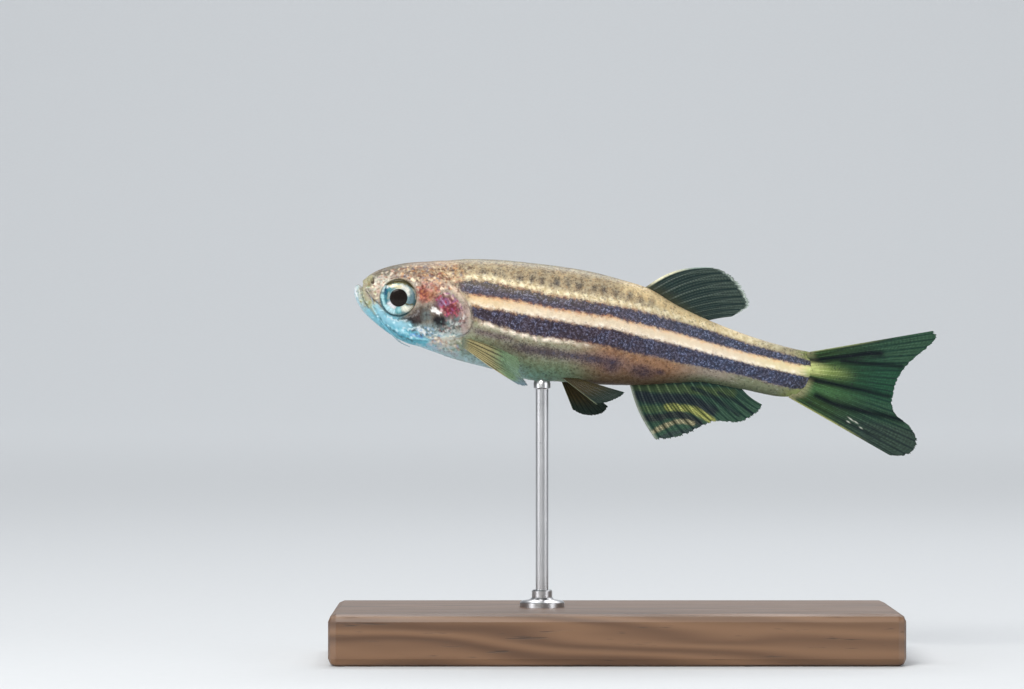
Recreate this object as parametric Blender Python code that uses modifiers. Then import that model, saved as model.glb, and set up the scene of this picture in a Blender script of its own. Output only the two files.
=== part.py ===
"""Zebra danio, a life-size still model held over a display stand.

The fish is drawn in millimetres along its own axis: s runs from the snout to the tail, y across
the body with the left side negative, and z up its depth. Each mesh is then scaled to metres and
hung on an empty at the snout, which raises the head by PITCH. The stand is drawn in the world's axes.
"""
import math

import bmesh
import bpy
from mathutils import Matrix, Vector

# Scale and places
MM = 0.001
GAP = 0.3
PITCH = math.radians(10.5)
SNOUT = (-20.3, 0.0, 28.8)
BEND_START = 14.0
BEND_END = 45.5
BEND_SWAY = 0.9
OUTSIDE = 6.0

# Outline of the body, (s, z) along its upper and lower edge and (s, y) along its side
BACK = ((0.0, 0.0), (0.12, 0.30), (0.40, 0.50), (0.62, 0.90), (1.0, 1.38), (2.0, 2.08), (3.5, 2.66),
        (5.5, 3.16), (8.0, 3.88), (12.0, 4.44), (17.5, 4.72), (21.0, 4.48), (22.4, 4.30), (25.0, 3.37),
        (28.0, 2.60), (32.0, 1.93), (35.0, 1.70), (36.6, 1.68))
BELLY = ((0.0, 0.0), (0.05, -0.32), (0.30, -0.80), (1.0, -1.58), (2.0, -2.22), (4.0, -3.08),
         (6.0, -3.50), (9.0, -3.93), (12.0, -4.14), (14.7, -4.43), (17.0, -4.14), (20.0, -3.82),
         (23.0, -3.33), (26.0, -2.60), (28.5, -2.12), (31.0, -2.13), (33.5, -2.20), (36.6, -1.95))
SIDE = ((0.0, 0.0), (0.10, 0.36), (0.40, 0.70), (1.0, 1.05), (2.0, 1.48), (3.5, 1.88), (5.0, 2.12),
        (7.0, 2.32), (9.5, 2.42), (13.0, 2.48), (17.0, 2.38), (22.0, 1.95), (27.0, 1.33), (31.0, 0.97),
        (34.0, 0.78), (36.6, 0.60))
WIDEST_LEVEL = 0.54
BACK_FULLNESS = 2.15
BELLY_FULLNESS = 2.0
BODY_END = 36.6
BODY_RINGS = 60
BODY_SIDES = 36
RING_CROWDING = 1.5
EDGE_STEPS = 3
WELD = 0.002
SHARP_EDGE = math.radians(35)

# Where the body is parted
GILL_OPENING = ((6.7, OUTSIDE), (7.0, 3.4), (7.55, 2.0), (8.2, 1.25), (8.95, 0.45), (9.4, -0.4),
                (9.52, -1.2), (9.25, -1.75), (8.6, -2.15), (7.6, -2.6), (6.6, -3.05), (5.9, -3.6),
                (5.5, -OUTSIDE))
COVER_TOP = 1.45
COVER_BOTTOM = -2.72
COVER_FRONT = ((6.7, -2.62), (6.15, -1.9), (5.95, -0.8), (6.05, 0.3), (6.5, 1.2), (7.2, 1.62))
COVER_DEPTH = 1.35
COVER_SWELL = 0.12
JAW_LINE = ((0.34, 0.40), (0.62, 0.02), (0.95, -0.55), (1.32, -0.95), (1.9, -1.45), (2.45, -2.05))
JAW_FRONT = (-0.6, 0.52)
JAW_BACK = (2.8, -OUTSIDE)
VENT = 21.6
TAIL_END = ((35.6, OUTSIDE), (35.75, 1.75), (36.15, 1.0), (36.32, 0.1), (36.15, -0.9), (35.6, -1.7),
            (34.95, -2.25), (34.2, -OUTSIDE))

# Face
EYE_CENTRE = (3.55, -0.02)
EYE_RADIUS = 1.40
EYE_HALF_DEPTH = 0.80
EYE_LEVEL = 1.36
EYE_FACETS = (20, 10)
SOCKET_FACETS = (24, 12)
PUPIL_RADIUS = 0.69
PUPIL_RISE = 0.06
ORBIT_RISE = 0.10
ORBIT_SPREAD = 0.30
LIP_RISE = 0.12
LIP_SPREAD = 0.20
NOSTRIL = (1.28, 0.92)
NOSTRIL_SIZE = (0.15, 0.24, 0.25)
NOSTRIL_FACETS = (10, 6)
NOSTRIL_SLANT = math.radians(24)
NOSTRIL_RIM = 0.06
NOSTRIL_SPREAD = 0.34

# Barbels as (s, z, clear of the skin), from the root to the tip
ROSTRAL_PATH = ((0.95, 0.22, 0.30), (1.15, 0.0, 0.42), (1.45, -0.4, 0.42), (1.8, -0.95, 0.36))
MAXILLARY_PATH = ((1.72, -1.12, 0.30), (2.0, -1.5, 0.50), (2.5, -2.02, 0.62), (3.0, -2.5, 0.80))
MAXILLARY_HANG = ((3.6, -2.98, 1.20), (4.3, -3.42, 1.08), (5.05, -3.62, 0.98))
BARBEL_RADIUS = 0.27
BARBEL_TIP = 0.5
BARBEL_POINTS = 9

# Fins: the last point of each outline is where its last ray ends
DORSAL_RAYS, DORSAL_ROWS = 9, 7
DORSAL_ROOT = (22.1, 27.3)
DORSAL_MARGIN = ((27.1, 6.8), (28.05, 6.62), (29.0, 6.15), (29.75, 5.55), (30.25, 4.95), (30.52, 4.4),
                 (30.1, 3.85), (29.4, 3.30))
ANAL_RAYS, ANAL_ROWS = 14, 7
ANAL_ROOT = (22.4, 30.9)
ANAL_MARGIN = ((25.3, -7.3), (26.6, -6.95), (27.8, -6.3), (28.7, -5.6), (29.6, -5.05), (30.6, -4.9),
               (31.6, -4.72), (32.4, -4.1), (32.9, -3.5), (33.0, -3.05))
CAUDAL_RAYS, CAUDAL_ROWS = 9, 9
CAUDAL_SPLIT = -0.3
CAUDAL_TOP = 1.62
CAUDAL_BOTTOM = -2.12
CAUDAL_UPPER_MARGIN = ((45.1, 5.08), (45.5, 4.65), (45.0, 3.8), (44.2, 2.85), (43.55, 1.95),
                       (43.15, 1.05), (42.98, 0.3), (42.95, -0.28))
CAUDAL_LOWER_MARGIN = ((42.95, -0.58), (43.0, -1.2), (43.5, -1.95), (44.6, -2.55), (45.3, -3.3),
                       (45.45, -3.95), (45.2, -4.6), (44.5, -5.0), (43.6, -5.15))
PECTORAL_RAYS, PECTORAL_ROWS = 10, 6
PECTORAL_ROOT = ((9.15, -2.12), (9.2, -2.78))
PECTORAL_MARGIN = ((13.75, -3.0), (14.0, -3.6), (14.35, -4.2), (14.65, -4.75), (14.55, -4.95),
                   (13.9, -4.92))
PECTORAL_LEAN = 1.25
PELVIC_RAYS, PELVIC_ROWS = 8, 6
PELVIC_ROOT = (16.95, 17.75)
PELVIC_APART = 0.75
PELVIC_LEFT_MARGIN = ((20.2, -5.4), (20.9, -5.1), (21.5, -4.75), (22.0, -4.35), (22.2, -4.05))
PELVIC_LEFT_LEAN = 0.9
PELVIC_RIGHT_MARGIN = ((18.5, -6.15), (19.3, -6.38), (20.2, -6.3), (20.9, -5.95), (21.2, -5.4))
PELVIC_RIGHT_LEAN = 1.3
DORSAL_BOW = (-0.45, -0.05)
ANAL_BOW = (0.28, 0.15)
STRAIGHT = (0.0, 0.0)
MEMBRANE = 0.50
MEMBRANE_TIP = 0.26
RAY_RIDGE = 0.24
RAY_RIDGE_TIP = 0.10

# Stand
BASE_SIZE = (44.0, 22.0, 4.0)
BASE_EDGE = 0.6
ROD_STATION = 15.7
ROD_RADIUS = 0.5
ROD_SIDES = 16

# Colour, roughness and metallic value of each material
FINISHES = {
    "head_skin": ((0.56, 0.44, 0.33), 0.38, 0.1),
    "jaw_skin": ((0.52, 0.66, 0.68), 0.34, 0.15),
    "gill_cover_skin": ((0.47, 0.30, 0.30), 0.32, 0.2),
    "trunk_skin": ((0.42, 0.37, 0.33), 0.36, 0.15),
    "tail_skin": ((0.40, 0.34, 0.30), 0.36, 0.15),
    "eye": ((0.55, 0.66, 0.62), 0.12, 0.2),
    "barbel": ((0.62, 0.47, 0.42), 0.45, 0.0),
    "back_fin": ((0.22, 0.30, 0.29), 0.4, 0.0),
    "anal_fin": ((0.30, 0.38, 0.16), 0.4, 0.0),
    "tail_fin": ((0.24, 0.36, 0.24), 0.4, 0.0),
    "paired_fin": ((0.42, 0.40, 0.20), 0.4, 0.0),
    "stand_base": ((0.16, 0.09, 0.05), 0.42, 0.0),
    "stand_rod": ((0.62, 0.62, 0.63), 0.3, 1.0),
}


def clear_scene():
    for thing in list(bpy.data.objects):
        bpy.data.objects.remove(thing)


def new_collection(name):
    group = bpy.data.collections.new(name)
    bpy.context.scene.collection.children.link(group)
    return group


def finish(name):
    material = bpy.data.materials.get(name)
    if material:
        return material
    colour, roughness, metallic = FINISHES[name]
    material = bpy.data.materials.new(name)
    material.use_nodes = True
    shader = material.node_tree.nodes["Principled BSDF"]
    shader.inputs["Base Color"].default_value = (*colour, 1.0)
    shader.inputs["Roughness"].default_value = roughness
    shader.inputs["Metallic"].default_value = metallic
    return material


# Curves through a few named points

def smooth(stations, s):
    """Reads the outline at s along one smooth curve that never swings past its points."""
    knots = [math.sqrt(station[0]) for station in stations]
    values = [station[1] for station in stations]
    at = min(max(math.sqrt(max(s, 0.0)), knots[0]), knots[-1])
    slopes = [(values[i + 1] - values[i]) / (knots[i + 1] - knots[i]) for i in range(len(knots) - 1)]

    def tangent(i):
        if i == 0 or i == len(knots) - 1:
            return slopes[0] if i == 0 else slopes[-1]
        before, after = slopes[i - 1], slopes[i]
        return 0.0 if before * after <= 0 else 2 * before * after / (before + after)

    i = max(k for k in range(len(knots) - 1) if at >= knots[k])
    width = knots[i + 1] - knots[i]
    t = (at - knots[i]) / width
    return (values[i] * (1 + 2 * t) * (1 - t) ** 2 + values[i + 1] * t * t * (3 - 2 * t)
            + width * (tangent(i) * t * (1 - t) ** 2 - tangent(i + 1) * t * t * (1 - t)))


def along(points, t):
    """The place at share t of a smooth curve through the points."""
    points = [Vector(point) for point in points]
    spans = len(points) - 1
    place = min(max(t, 0.0), 1.0) * spans
    i = min(int(place), spans - 1)
    f = place - i
    a, b = points[i], points[i + 1]
    start = points[i - 1] if i else a * 2 - b
    end = points[i + 2] if i + 2 <= spans else b * 2 - a
    return 0.5 * (2 * a + (b - start) * f + (2 * start - 5 * a + 4 * b - end) * f * f
                  + (3 * a - start - 3 * b + end) * f ** 3)


def curve_points(points, steps_a_span):
    steps = steps_a_span * (len(points) - 1)
    return [along(points, i / steps) for i in range(steps + 1)]


def moved_across(line, distance):
    """Shifts an open line square to itself, to the left of its run where distance is positive."""
    shifted = []
    for i, point in enumerate(line):
        run = (line[min(i + 1, len(line) - 1)] - line[max(i - 1, 0)]).normalized()
        shifted.append(point + Vector((-run.y, run.x)) * distance)
    return shifted


def grown(outline, distance):
    """Moves a closed outline outwards, square to itself."""
    count = len(outline)
    turning = sum(outline[i].x * outline[(i + 1) % count].y - outline[(i + 1) % count].x * outline[i].y
                  for i in range(count))
    away = -distance if turning > 0 else distance
    moved = []
    for i, point in enumerate(outline):
        before = (point - outline[i - 1]).normalized()
        after = (outline[(i + 1) % count] - point).normalized()
        middle = (before + after).normalized()
        square = Vector((-middle.y, middle.x))
        reach = max(square.dot(Vector((-after.y, after.x))), 0.5)
        moved.append(point + square * (away / reach))
    return moved


def at_height(line, z):
    """The point of a line that runs downwards at the height z."""
    for high, low in zip(line, line[1:]):
        if high.y >= z >= low.y:
            return high.lerp(low, (high.y - z) / max(high.y - low.y, 1e-6))
    return line[-1]


# The body's surface

def section(s):
    """Upper edge, lower edge, widest level and half width of the body at s."""
    top = smooth(BACK, s)
    bottom = smooth(BELLY, s)
    return top, bottom, bottom + (top - bottom) * WIDEST_LEVEL, smooth(SIDE, s)


def flank(s, z):
    """Half width of the body at the height z."""
    top, bottom, level, half = section(s)
    depth = (top - level) if z > level else (level - bottom)
    fullness = BACK_FULLNESS if z > level else BELLY_FULLNESS
    share = min(abs(z - level) / depth, 1.0)
    return half * (1 - share ** fullness) ** (1 / fullness)


def under_side(s, y):
    """Height of the belly at the distance y from its middle."""
    top, bottom, level, half = section(s)
    share = min(abs(y) / half, 1.0)
    return level - (level - bottom) * (1 - share ** BELLY_FULLNESS) ** (1 / BELLY_FULLNESS)


def distance_to_line(point, line):
    nearest = OUTSIDE
    for a, b in zip(line, line[1:]):
        span = b - a
        share = min(max((point - a).dot(span) / span.length_squared, 0.0), 1.0)
        nearest = min(nearest, (point - a - span * share).length)
    return nearest


def face_relief(s, z):
    """Rise of the lips, the rim of the orbit and the rim of the nostril over the plain head."""
    spot = Vector((s, z))
    mouth = [Vector(point) for point in JAW_LINE[:4]]
    lips = distance_to_line(spot, mouth) - GAP / 2
    orbit = (spot - Vector(EYE_CENTRE)).length - EYE_RADIUS - GAP
    nostril = (spot - Vector(NOSTRIL)).length
    return (LIP_RISE * math.exp(-(lips / LIP_SPREAD) ** 2)
            + ORBIT_RISE * math.exp(-(orbit / ORBIT_SPREAD) ** 2)
            + NOSTRIL_RIM * math.exp(-(nostril / NOSTRIL_SPREAD) ** 2))


def body_mesh(swell):
    """The whole body as one closed loft, its sides pushed out by swell."""
    shape = bmesh.new()
    rings = []
    for i in range(1, BODY_RINGS + 1):
        s = BODY_END * (i / BODY_RINGS) ** RING_CROWDING
        top, bottom, level, half = section(s)
        ring = []
        for j in range(BODY_SIDES):
            angle = math.tau * (j + 0.5) / BODY_SIDES
            across, up = math.cos(angle), math.sin(angle)
            power = 2 / (BACK_FULLNESS if up > 0 else BELLY_FULLNESS)
            z = level + ((top - level) if up > 0 else (bottom - level)) * abs(up) ** power
            y = math.copysign(half * abs(across) ** power, across)
            if s < BEND_START:
                y += math.copysign(face_relief(s, z) + swell, across) * min(1.0, abs(y))
            ring.append(shape.verts.new((s, y, z)))
        rings.append(ring)
    tip = shape.verts.new((0.0, 0.0, 0.0))
    for j in range(BODY_SIDES):
        k = (j + 1) % BODY_SIDES
        shape.faces.new((tip, rings[0][k], rings[0][j]))
        for front, rear in zip(rings, rings[1:]):
            shape.faces.new((front[j], front[k], rear[k], rear[j]))
    shape.faces.new(rings[-1])
    return closed_mesh(shape, "body")


def closed_mesh(shape, name):
    """Turns the faces outwards, splits them into triangles and gives the mesh."""
    bmesh.ops.triangulate(shape, faces=shape.faces[:])
    bmesh.ops.recalc_face_normals(shape, faces=shape.faces[:])
    mesh = bpy.data.meshes.new(name)
    shape.to_mesh(mesh)
    shape.free()
    return mesh


# Cutting

def prism(outline, near, far):
    """A side-view outline drawn out across the body from y near to y far."""
    shape = bmesh.new()
    face = shape.faces.new([shape.verts.new((point.x, near, point.y)) for point in outline])
    sides = bmesh.ops.extrude_face_region(shape, geom=[face])
    moved = [item for item in sides["geom"] if isinstance(item, bmesh.types.BMVert)]
    bmesh.ops.translate(shape, verts=moved, vec=(0.0, far - near, 0.0))
    bmesh.ops.recalc_face_normals(shape, faces=shape.faces[:])
    mesh = bpy.data.meshes.new("prism")
    shape.to_mesh(mesh)
    shape.free()
    return mesh


def spheroid(centre, radii, segments, rings, slant=0.0):
    """A ball stretched to three radii, with its poles across the body."""
    shape = bmesh.new()
    place = (Matrix.Translation(centre) @ Matrix.Rotation(slant, 4, "Y")
             @ Matrix.Diagonal((*radii, 1.0)) @ Matrix.Rotation(math.pi / 2, 4, "X"))
    bmesh.ops.create_uvsphere(shape, u_segments=segments, v_segments=rings, radius=1.0, matrix=place)
    return closed_mesh(shape, "spheroid")


def combined(mesh, tool, operation, cutters):
    """Cuts or crosses a closed mesh with another and keeps its largest closed surface."""
    body = bpy.data.objects.new("cut_body", mesh)
    cutter = bpy.data.objects.new("cutter", tool)
    for thing in (body, cutter):
        cutters.objects.link(thing)
        thing.hide_render = True
        thing.display_type = "WIRE"
    step = body.modifiers.new("cut", "BOOLEAN")
    step.operation = operation
    step.solver = "EXACT"
    step.object = cutter
    graph = bpy.context.evaluated_depsgraph_get()
    result = bpy.data.meshes.new_from_object(body.evaluated_get(graph))
    for thing in (body, cutter):
        bpy.data.objects.remove(thing)
    return largest_surface(result)


def largest_surface(mesh):
    """Drops every closed surface but the one with the most volume."""
    shape = bmesh.new()
    shape.from_mesh(mesh)
    bmesh.ops.remove_doubles(shape, verts=shape.verts[:], dist=WELD)
    bmesh.ops.triangulate(shape, faces=shape.faces[:])
    left = set(shape.faces)
    surfaces = []
    while left:
        found = [left.pop()]
        for face in found:
            for edge in face.edges:
                for other in edge.link_faces:
                    if other in left:
                        left.remove(other)
                        found.append(other)
        volume = sum(face.verts[0].co.dot(face.verts[1].co.cross(face.verts[2].co)) for face in found)
        surfaces.append((abs(volume), len(surfaces), found))
    surfaces.sort(reverse=True)
    for _, _, faces in surfaces[1:]:
        bmesh.ops.delete(shape, geom=faces, context="FACES")
    bmesh.ops.delete(shape, geom=[v for v in shape.verts if not v.link_faces], context="VERTS")
    return closed_mesh(shape, mesh.name)


# Placing

def sway(s):
    """Sideways drift of the body's middle, a slight bend of the tail away from the left side."""
    share = max(0.0, (s - BEND_START) / (BEND_END - BEND_START))
    return BEND_SWAY * share * share


def add_fish_part(name, mesh, material, parts, axis):
    """Bends a millimetre mesh with the body, scales it to metres and hangs it on the fish's axis."""
    mesh.name = name
    for vertex in mesh.vertices:
        vertex.co.y += sway(vertex.co.x)
    mesh.transform(Matrix.Scale(MM, 4))
    mesh.shade_smooth()
    mesh.set_sharp_from_angle(angle=SHARP_EDGE)
    mesh.materials.clear()
    mesh.materials.append(finish(material))
    part = bpy.data.objects.new(name, mesh)
    part.parent = axis
    parts.objects.link(part)
    return part


# Parts of the body

def make_body(parts, axis, cutters):
    opening = curve_points(GILL_OPENING, EDGE_STEPS)
    behind_opening = moved_across(opening, GAP)
    ahead = [Vector((JAW_FRONT[0] - GAP, -OUTSIDE)), Vector((JAW_FRONT[0] - GAP, OUTSIDE))]
    head_region = prism(opening + ahead, -OUTSIDE, OUTSIDE)
    trunk_region = prism(behind_opening + [Vector((VENT, -OUTSIDE)), Vector((VENT, OUTSIDE))],
                         -OUTSIDE, OUTSIDE)
    tail_end = curve_points(TAIL_END, EDGE_STEPS)
    tail_region = prism(tail_end + [Vector((VENT + GAP, -OUTSIDE)), Vector((VENT + GAP, OUTSIDE))],
                        -OUTSIDE, OUTSIDE)
    jaw_outline = [Vector(JAW_FRONT), *curve_points(JAW_LINE, EDGE_STEPS), Vector(JAW_BACK),
                   Vector((JAW_FRONT[0], -OUTSIDE))]
    rear = [point for point in opening if COVER_BOTTOM < point.y < COVER_TOP]
    cover_outline = rear + curve_points(COVER_FRONT, EDGE_STEPS)

    head = combined(body_mesh(COVER_SWELL), head_region, "INTERSECT", cutters)
    head = combined(head, prism(grown(jaw_outline, GAP), -OUTSIDE, OUTSIDE), "DIFFERENCE", cutters)
    for side in (-1, 1):
        pocket = prism(grown(cover_outline, GAP), side * (COVER_DEPTH - GAP), side * OUTSIDE)
        head = combined(head, pocket, "DIFFERENCE", cutters)
        socket_size = (EYE_RADIUS + GAP, EYE_HALF_DEPTH + GAP, EYE_RADIUS + GAP)
        socket = spheroid((EYE_CENTRE[0], side * EYE_LEVEL, EYE_CENTRE[1]), socket_size, *SOCKET_FACETS)
        head = combined(head, socket, "DIFFERENCE", cutters)
        level = flank(*NOSTRIL) + NOSTRIL_RIM
        place = (NOSTRIL[0], side * level, NOSTRIL[1])
        pit = spheroid(place, NOSTRIL_SIZE, *NOSTRIL_FACETS, NOSTRIL_SLANT)
        head = combined(head, pit, "DIFFERENCE", cutters)
    add_fish_part("head", head, "head_skin", parts, axis)

    jaw = combined(body_mesh(0.0), prism(jaw_outline, -OUTSIDE, OUTSIDE), "INTERSECT", cutters)
    add_fish_part("lower_jaw", jaw, "jaw_skin", parts, axis)
    for side, word in ((-1, "left"), (1, "right")):
        plate = prism(cover_outline, side * COVER_DEPTH, side * OUTSIDE)
        cover = combined(body_mesh(COVER_SWELL), plate, "INTERSECT", cutters)
        add_fish_part(f"gill_cover_{word}", cover, "gill_cover_skin", parts, axis)
    trunk = combined(body_mesh(0.0), trunk_region, "INTERSECT", cutters)
    add_fish_part("trunk", trunk, "trunk_skin", parts, axis)
    tail = combined(body_mesh(0.0), tail_region, "INTERSECT", cutters)
    add_fish_part("tail_stalk", tail, "tail_skin", parts, axis)


def make_eyes(parts, axis):
    """Flattened eyeballs whose pupils stand a little proud of the iris."""
    for side, word in ((-1, "left"), (1, "right")):
        centre = (EYE_CENTRE[0], side * EYE_LEVEL, EYE_CENTRE[1])
        mesh = spheroid(centre, (EYE_RADIUS, EYE_HALF_DEPTH, EYE_RADIUS), *EYE_FACETS)
        for vertex in mesh.vertices:
            away = math.hypot(vertex.co.x - centre[0], vertex.co.z - centre[2])
            if away < PUPIL_RADIUS and vertex.co.y * side > EYE_LEVEL:
                vertex.co.y += side * PUPIL_RISE
        add_fish_part(f"eye_{word}", mesh, "eye", parts, axis)


def make_barbels(parts, axis):
    """Two pairs of tapered feelers, at the tip of the snout and at the corners of the mouth."""
    for side, word in ((-1, "left"), (1, "right")):
        rostral = [(s, side * (flank(s, z) + clear), z) for s, z, clear in ROSTRAL_PATH]
        add_barbel(f"barbel_rostral_{word}", rostral, parts, axis)
        maxillary = [(s, side * (flank(s, z) + clear), z) for s, z, clear in MAXILLARY_PATH]
        maxillary += [(s, side * y, z) for s, z, y in MAXILLARY_HANG]
        add_barbel(f"barbel_maxillary_{word}", maxillary, parts, axis)


def add_barbel(name, path, parts, axis):
    line = bpy.data.curves.new(name, "CURVE")
    line.dimensions = "3D"
    line.bevel_depth = BARBEL_RADIUS
    line.bevel_resolution = 2
    line.use_fill_caps = True
    spline = line.splines.new("POLY")
    spline.points.add(BARBEL_POINTS - 1)
    for i, point in enumerate(spline.points):
        share = i / (BARBEL_POINTS - 1)
        point.co = (*along(path, share), 1.0)
        point.radius = 1 + (BARBEL_TIP - 1) * share
    guide = bpy.data.objects.new(name, line)
    parts.objects.link(guide)
    graph = bpy.context.evaluated_depsgraph_get()
    mesh = bpy.data.meshes.new_from_object(guide.evaluated_get(graph))
    bpy.data.objects.remove(guide)
    shape = bmesh.new()
    shape.from_mesh(mesh)
    bmesh.ops.remove_doubles(shape, verts=shape.verts[:], dist=WELD)
    add_fish_part(name, closed_mesh(shape, name), "barbel", parts, axis)


# Fins

def add_fin(name, root, margin, rays, rows, bow, material, parts, axis):
    """A thin sheet with a ridge along each ray.

    root(t) and margin(t) give the two ends of the ray at share t of the fin as (s, y, z), and bow
    is how far the middle of the first and the last ray stands off the straight line between its ends.
    """
    columns = 2 * rays - 1

    def middle(i, j):
        place, share = i / (columns - 1), j / rows
        start, end = root(place), margin(place)
        run = end - start
        square = Vector((run.z, 0.0, -run.x)).normalized()
        bend = bow[0] + (bow[1] - bow[0]) * place
        return start.lerp(end, share) + square * (bend * math.sin(math.pi * share))

    shape = bmesh.new()
    near, far = [], []
    for i in range(columns):
        for j in range(rows + 1):
            point = middle(i, j)
            across = middle(min(i + 1, columns - 1), j) - middle(max(i - 1, 0), j)
            down = middle(i, min(j + 1, rows)) - middle(i, max(j - 1, 0))
            square = across.cross(down).normalized()
            share = j / rows
            thickness = MEMBRANE + (MEMBRANE_TIP - MEMBRANE) * share
            if i % 2 == 0:
                thickness += RAY_RIDGE + (RAY_RIDGE_TIP - RAY_RIDGE) * share
            near.append(shape.verts.new(point - square * thickness / 2))
            far.append(shape.verts.new(point + square * thickness / 2))

    def at(i, j):
        return i * (rows + 1) + j

    def strip(a, b):
        shape.faces.new((near[a], near[b], far[b]))
        shape.faces.new((near[a], far[b], far[a]))

    for i in range(columns - 1):
        for j in range(rows):
            corners = (at(i, j), at(i + 1, j), at(i + 1, j + 1), at(i, j + 1))
            for a, b, c in ((0, 1, 2), (0, 2, 3)):
                shape.faces.new([near[corners[k]] for k in (a, b, c)])
                shape.faces.new([far[corners[k]] for k in (a, c, b)])
        strip(at(i + 1, 0), at(i, 0))
        strip(at(i, rows), at(i + 1, rows))
    for j in range(rows):
        strip(at(0, j), at(0, j + 1))
        strip(at(columns - 1, j + 1), at(columns - 1, j))
    add_fish_part(name, closed_mesh(shape, name), material, parts, axis)


def in_middle(point):
    return Vector((point[0], 0.0, point[1]))


def make_median_fins(parts, axis):
    """Back, anal and tail fins, which stand in the fish's middle plane."""
    def back_root(t):
        s = DORSAL_ROOT[0] + (DORSAL_ROOT[1] - DORSAL_ROOT[0]) * t
        return in_middle((s, smooth(BACK, s) + GAP))

    def anal_root(t):
        s = ANAL_ROOT[0] + (ANAL_ROOT[1] - ANAL_ROOT[0]) * t
        return in_middle((s, smooth(BELLY, s) - GAP))

    add_fin("dorsal_fin", back_root, lambda t: in_middle(along(DORSAL_MARGIN, t)),
            DORSAL_RAYS, DORSAL_ROWS, DORSAL_BOW, "back_fin", parts, axis)
    add_fin("anal_fin", anal_root, lambda t: in_middle(along(ANAL_MARGIN, t)),
            ANAL_RAYS, ANAL_ROWS, ANAL_BOW, "anal_fin", parts, axis)

    tail_line = moved_across(curve_points(TAIL_END, EDGE_STEPS * 2), GAP)
    upper = (CAUDAL_TOP, CAUDAL_SPLIT + GAP / 2)
    lower = (CAUDAL_SPLIT - GAP / 2, CAUDAL_BOTTOM)
    for word, (high, low), margin in (("upper", upper, CAUDAL_UPPER_MARGIN),
                                      ("lower", lower, CAUDAL_LOWER_MARGIN)):
        add_fin(f"caudal_fin_{word}",
                lambda t, high=high, low=low: in_middle(at_height(tail_line, high + (low - high) * t)),
                lambda t, margin=margin: in_middle(along(margin, t)),
                CAUDAL_RAYS, CAUDAL_ROWS, STRAIGHT, "tail_fin", parts, axis)


def make_paired_fins(parts, axis):
    """Pectoral fins on the flanks behind the gill covers and pelvic fins on the belly."""
    for side, word in ((-1, "left"), (1, "right")):
        def pectoral_root(t, side=side):
            s, z = along(PECTORAL_ROOT, t)
            return Vector((s, side * (flank(s, z) + GAP + MEMBRANE / 2 + RAY_RIDGE / 2), z))

        def pectoral_margin(t, side=side):
            s, z = along(PECTORAL_MARGIN, t)
            return Vector((s, side * (abs(pectoral_root(t).y) + PECTORAL_LEAN), z))

        add_fin(f"pectoral_fin_{word}", pectoral_root, pectoral_margin,
                PECTORAL_RAYS, PECTORAL_ROWS, STRAIGHT, "paired_fin", parts, axis)

    def pelvic_root(t, side):
        s = PELVIC_ROOT[0] + (PELVIC_ROOT[1] - PELVIC_ROOT[0]) * t
        return Vector((s, side * PELVIC_APART, under_side(s, PELVIC_APART) - GAP))

    for side, word, outline, lean in ((-1, "left", PELVIC_LEFT_MARGIN, PELVIC_LEFT_LEAN),
                                      (1, "right", PELVIC_RIGHT_MARGIN, PELVIC_RIGHT_LEAN)):
        def pelvic_margin(t, side=side, outline=outline, lean=lean):
            s, z = along(outline, t)
            return Vector((s, side * (PELVIC_APART + lean), z))

        add_fin(f"pelvic_fin_{word}", lambda t, side=side: pelvic_root(t, side), pelvic_margin,
                PELVIC_RAYS, PELVIC_ROWS, STRAIGHT, "paired_fin", parts, axis)


# Stand

def make_stand(parts):
    """A flat base with one rod up to the belly, under the fish's centre of mass."""
    length, width, height = (size * MM for size in BASE_SIZE)
    bpy.ops.mesh.primitive_cube_add(size=1.0, location=(0.0, 0.0, height / 2))
    base = bpy.context.object
    base.data.transform(Matrix.Diagonal((length, width, height, 1.0)))
    edge = base.modifiers.new("edge", "BEVEL")
    edge.width = BASE_EDGE * MM
    edge.segments = 2
    adopt(base, "stand_base", "stand_base", parts)

    belly = min(in_world(ROD_STATION + ahead, 0.0, smooth(BELLY, ROD_STATION + ahead)).z
                for ahead in (-ROD_RADIUS, 0.0, ROD_RADIUS))
    foot = in_world(ROD_STATION, 0.0, smooth(BELLY, ROD_STATION))
    low, high = BASE_SIZE[2] + GAP, belly - GAP
    bpy.ops.mesh.primitive_cylinder_add(vertices=ROD_SIDES, radius=ROD_RADIUS * MM,
                                        depth=(high - low) * MM,
                                        location=(foot.x * MM, foot.y * MM, (low + high) / 2 * MM))
    adopt(bpy.context.object, "stand_rod", "stand_rod", parts)


def in_world(s, y, z):
    """A place on the fish in the world's millimetres."""
    return Matrix.Rotation(PITCH, 3, "Y") @ Vector((s, y + sway(s), z)) + Vector(SNOUT)


def adopt(part, name, material, parts):
    part.name = name
    part.data.name = name
    part.data.shade_smooth()
    part.data.set_sharp_from_angle(angle=SHARP_EDGE)
    part.data.materials.append(finish(material))
    for group in list(part.users_collection):
        group.objects.unlink(part)
    parts.objects.link(part)


def build():
    clear_scene()
    parts = new_collection("zebra_danio")
    cutters = new_collection("cutters")
    axis = bpy.data.objects.new("fish_axis", None)
    axis.location = Vector(SNOUT) * MM
    axis.rotation_euler = (0.0, PITCH, 0.0)
    parts.objects.link(axis)
    make_body(parts, axis, cutters)
    make_eyes(parts, axis)
    make_barbels(parts, axis)
    make_median_fins(parts, axis)
    make_paired_fins(parts, axis)
    make_stand(parts)


build()
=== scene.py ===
"""Zebra danio on a display stand: skin, scales, eyes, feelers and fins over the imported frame.

The fish is drawn in millimetres in its own axes, as its solids are: s from the snout to the tail, y
across the body with the left side negative, z up its depth. placed() turns them into the row frame.
"""

import math

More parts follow.
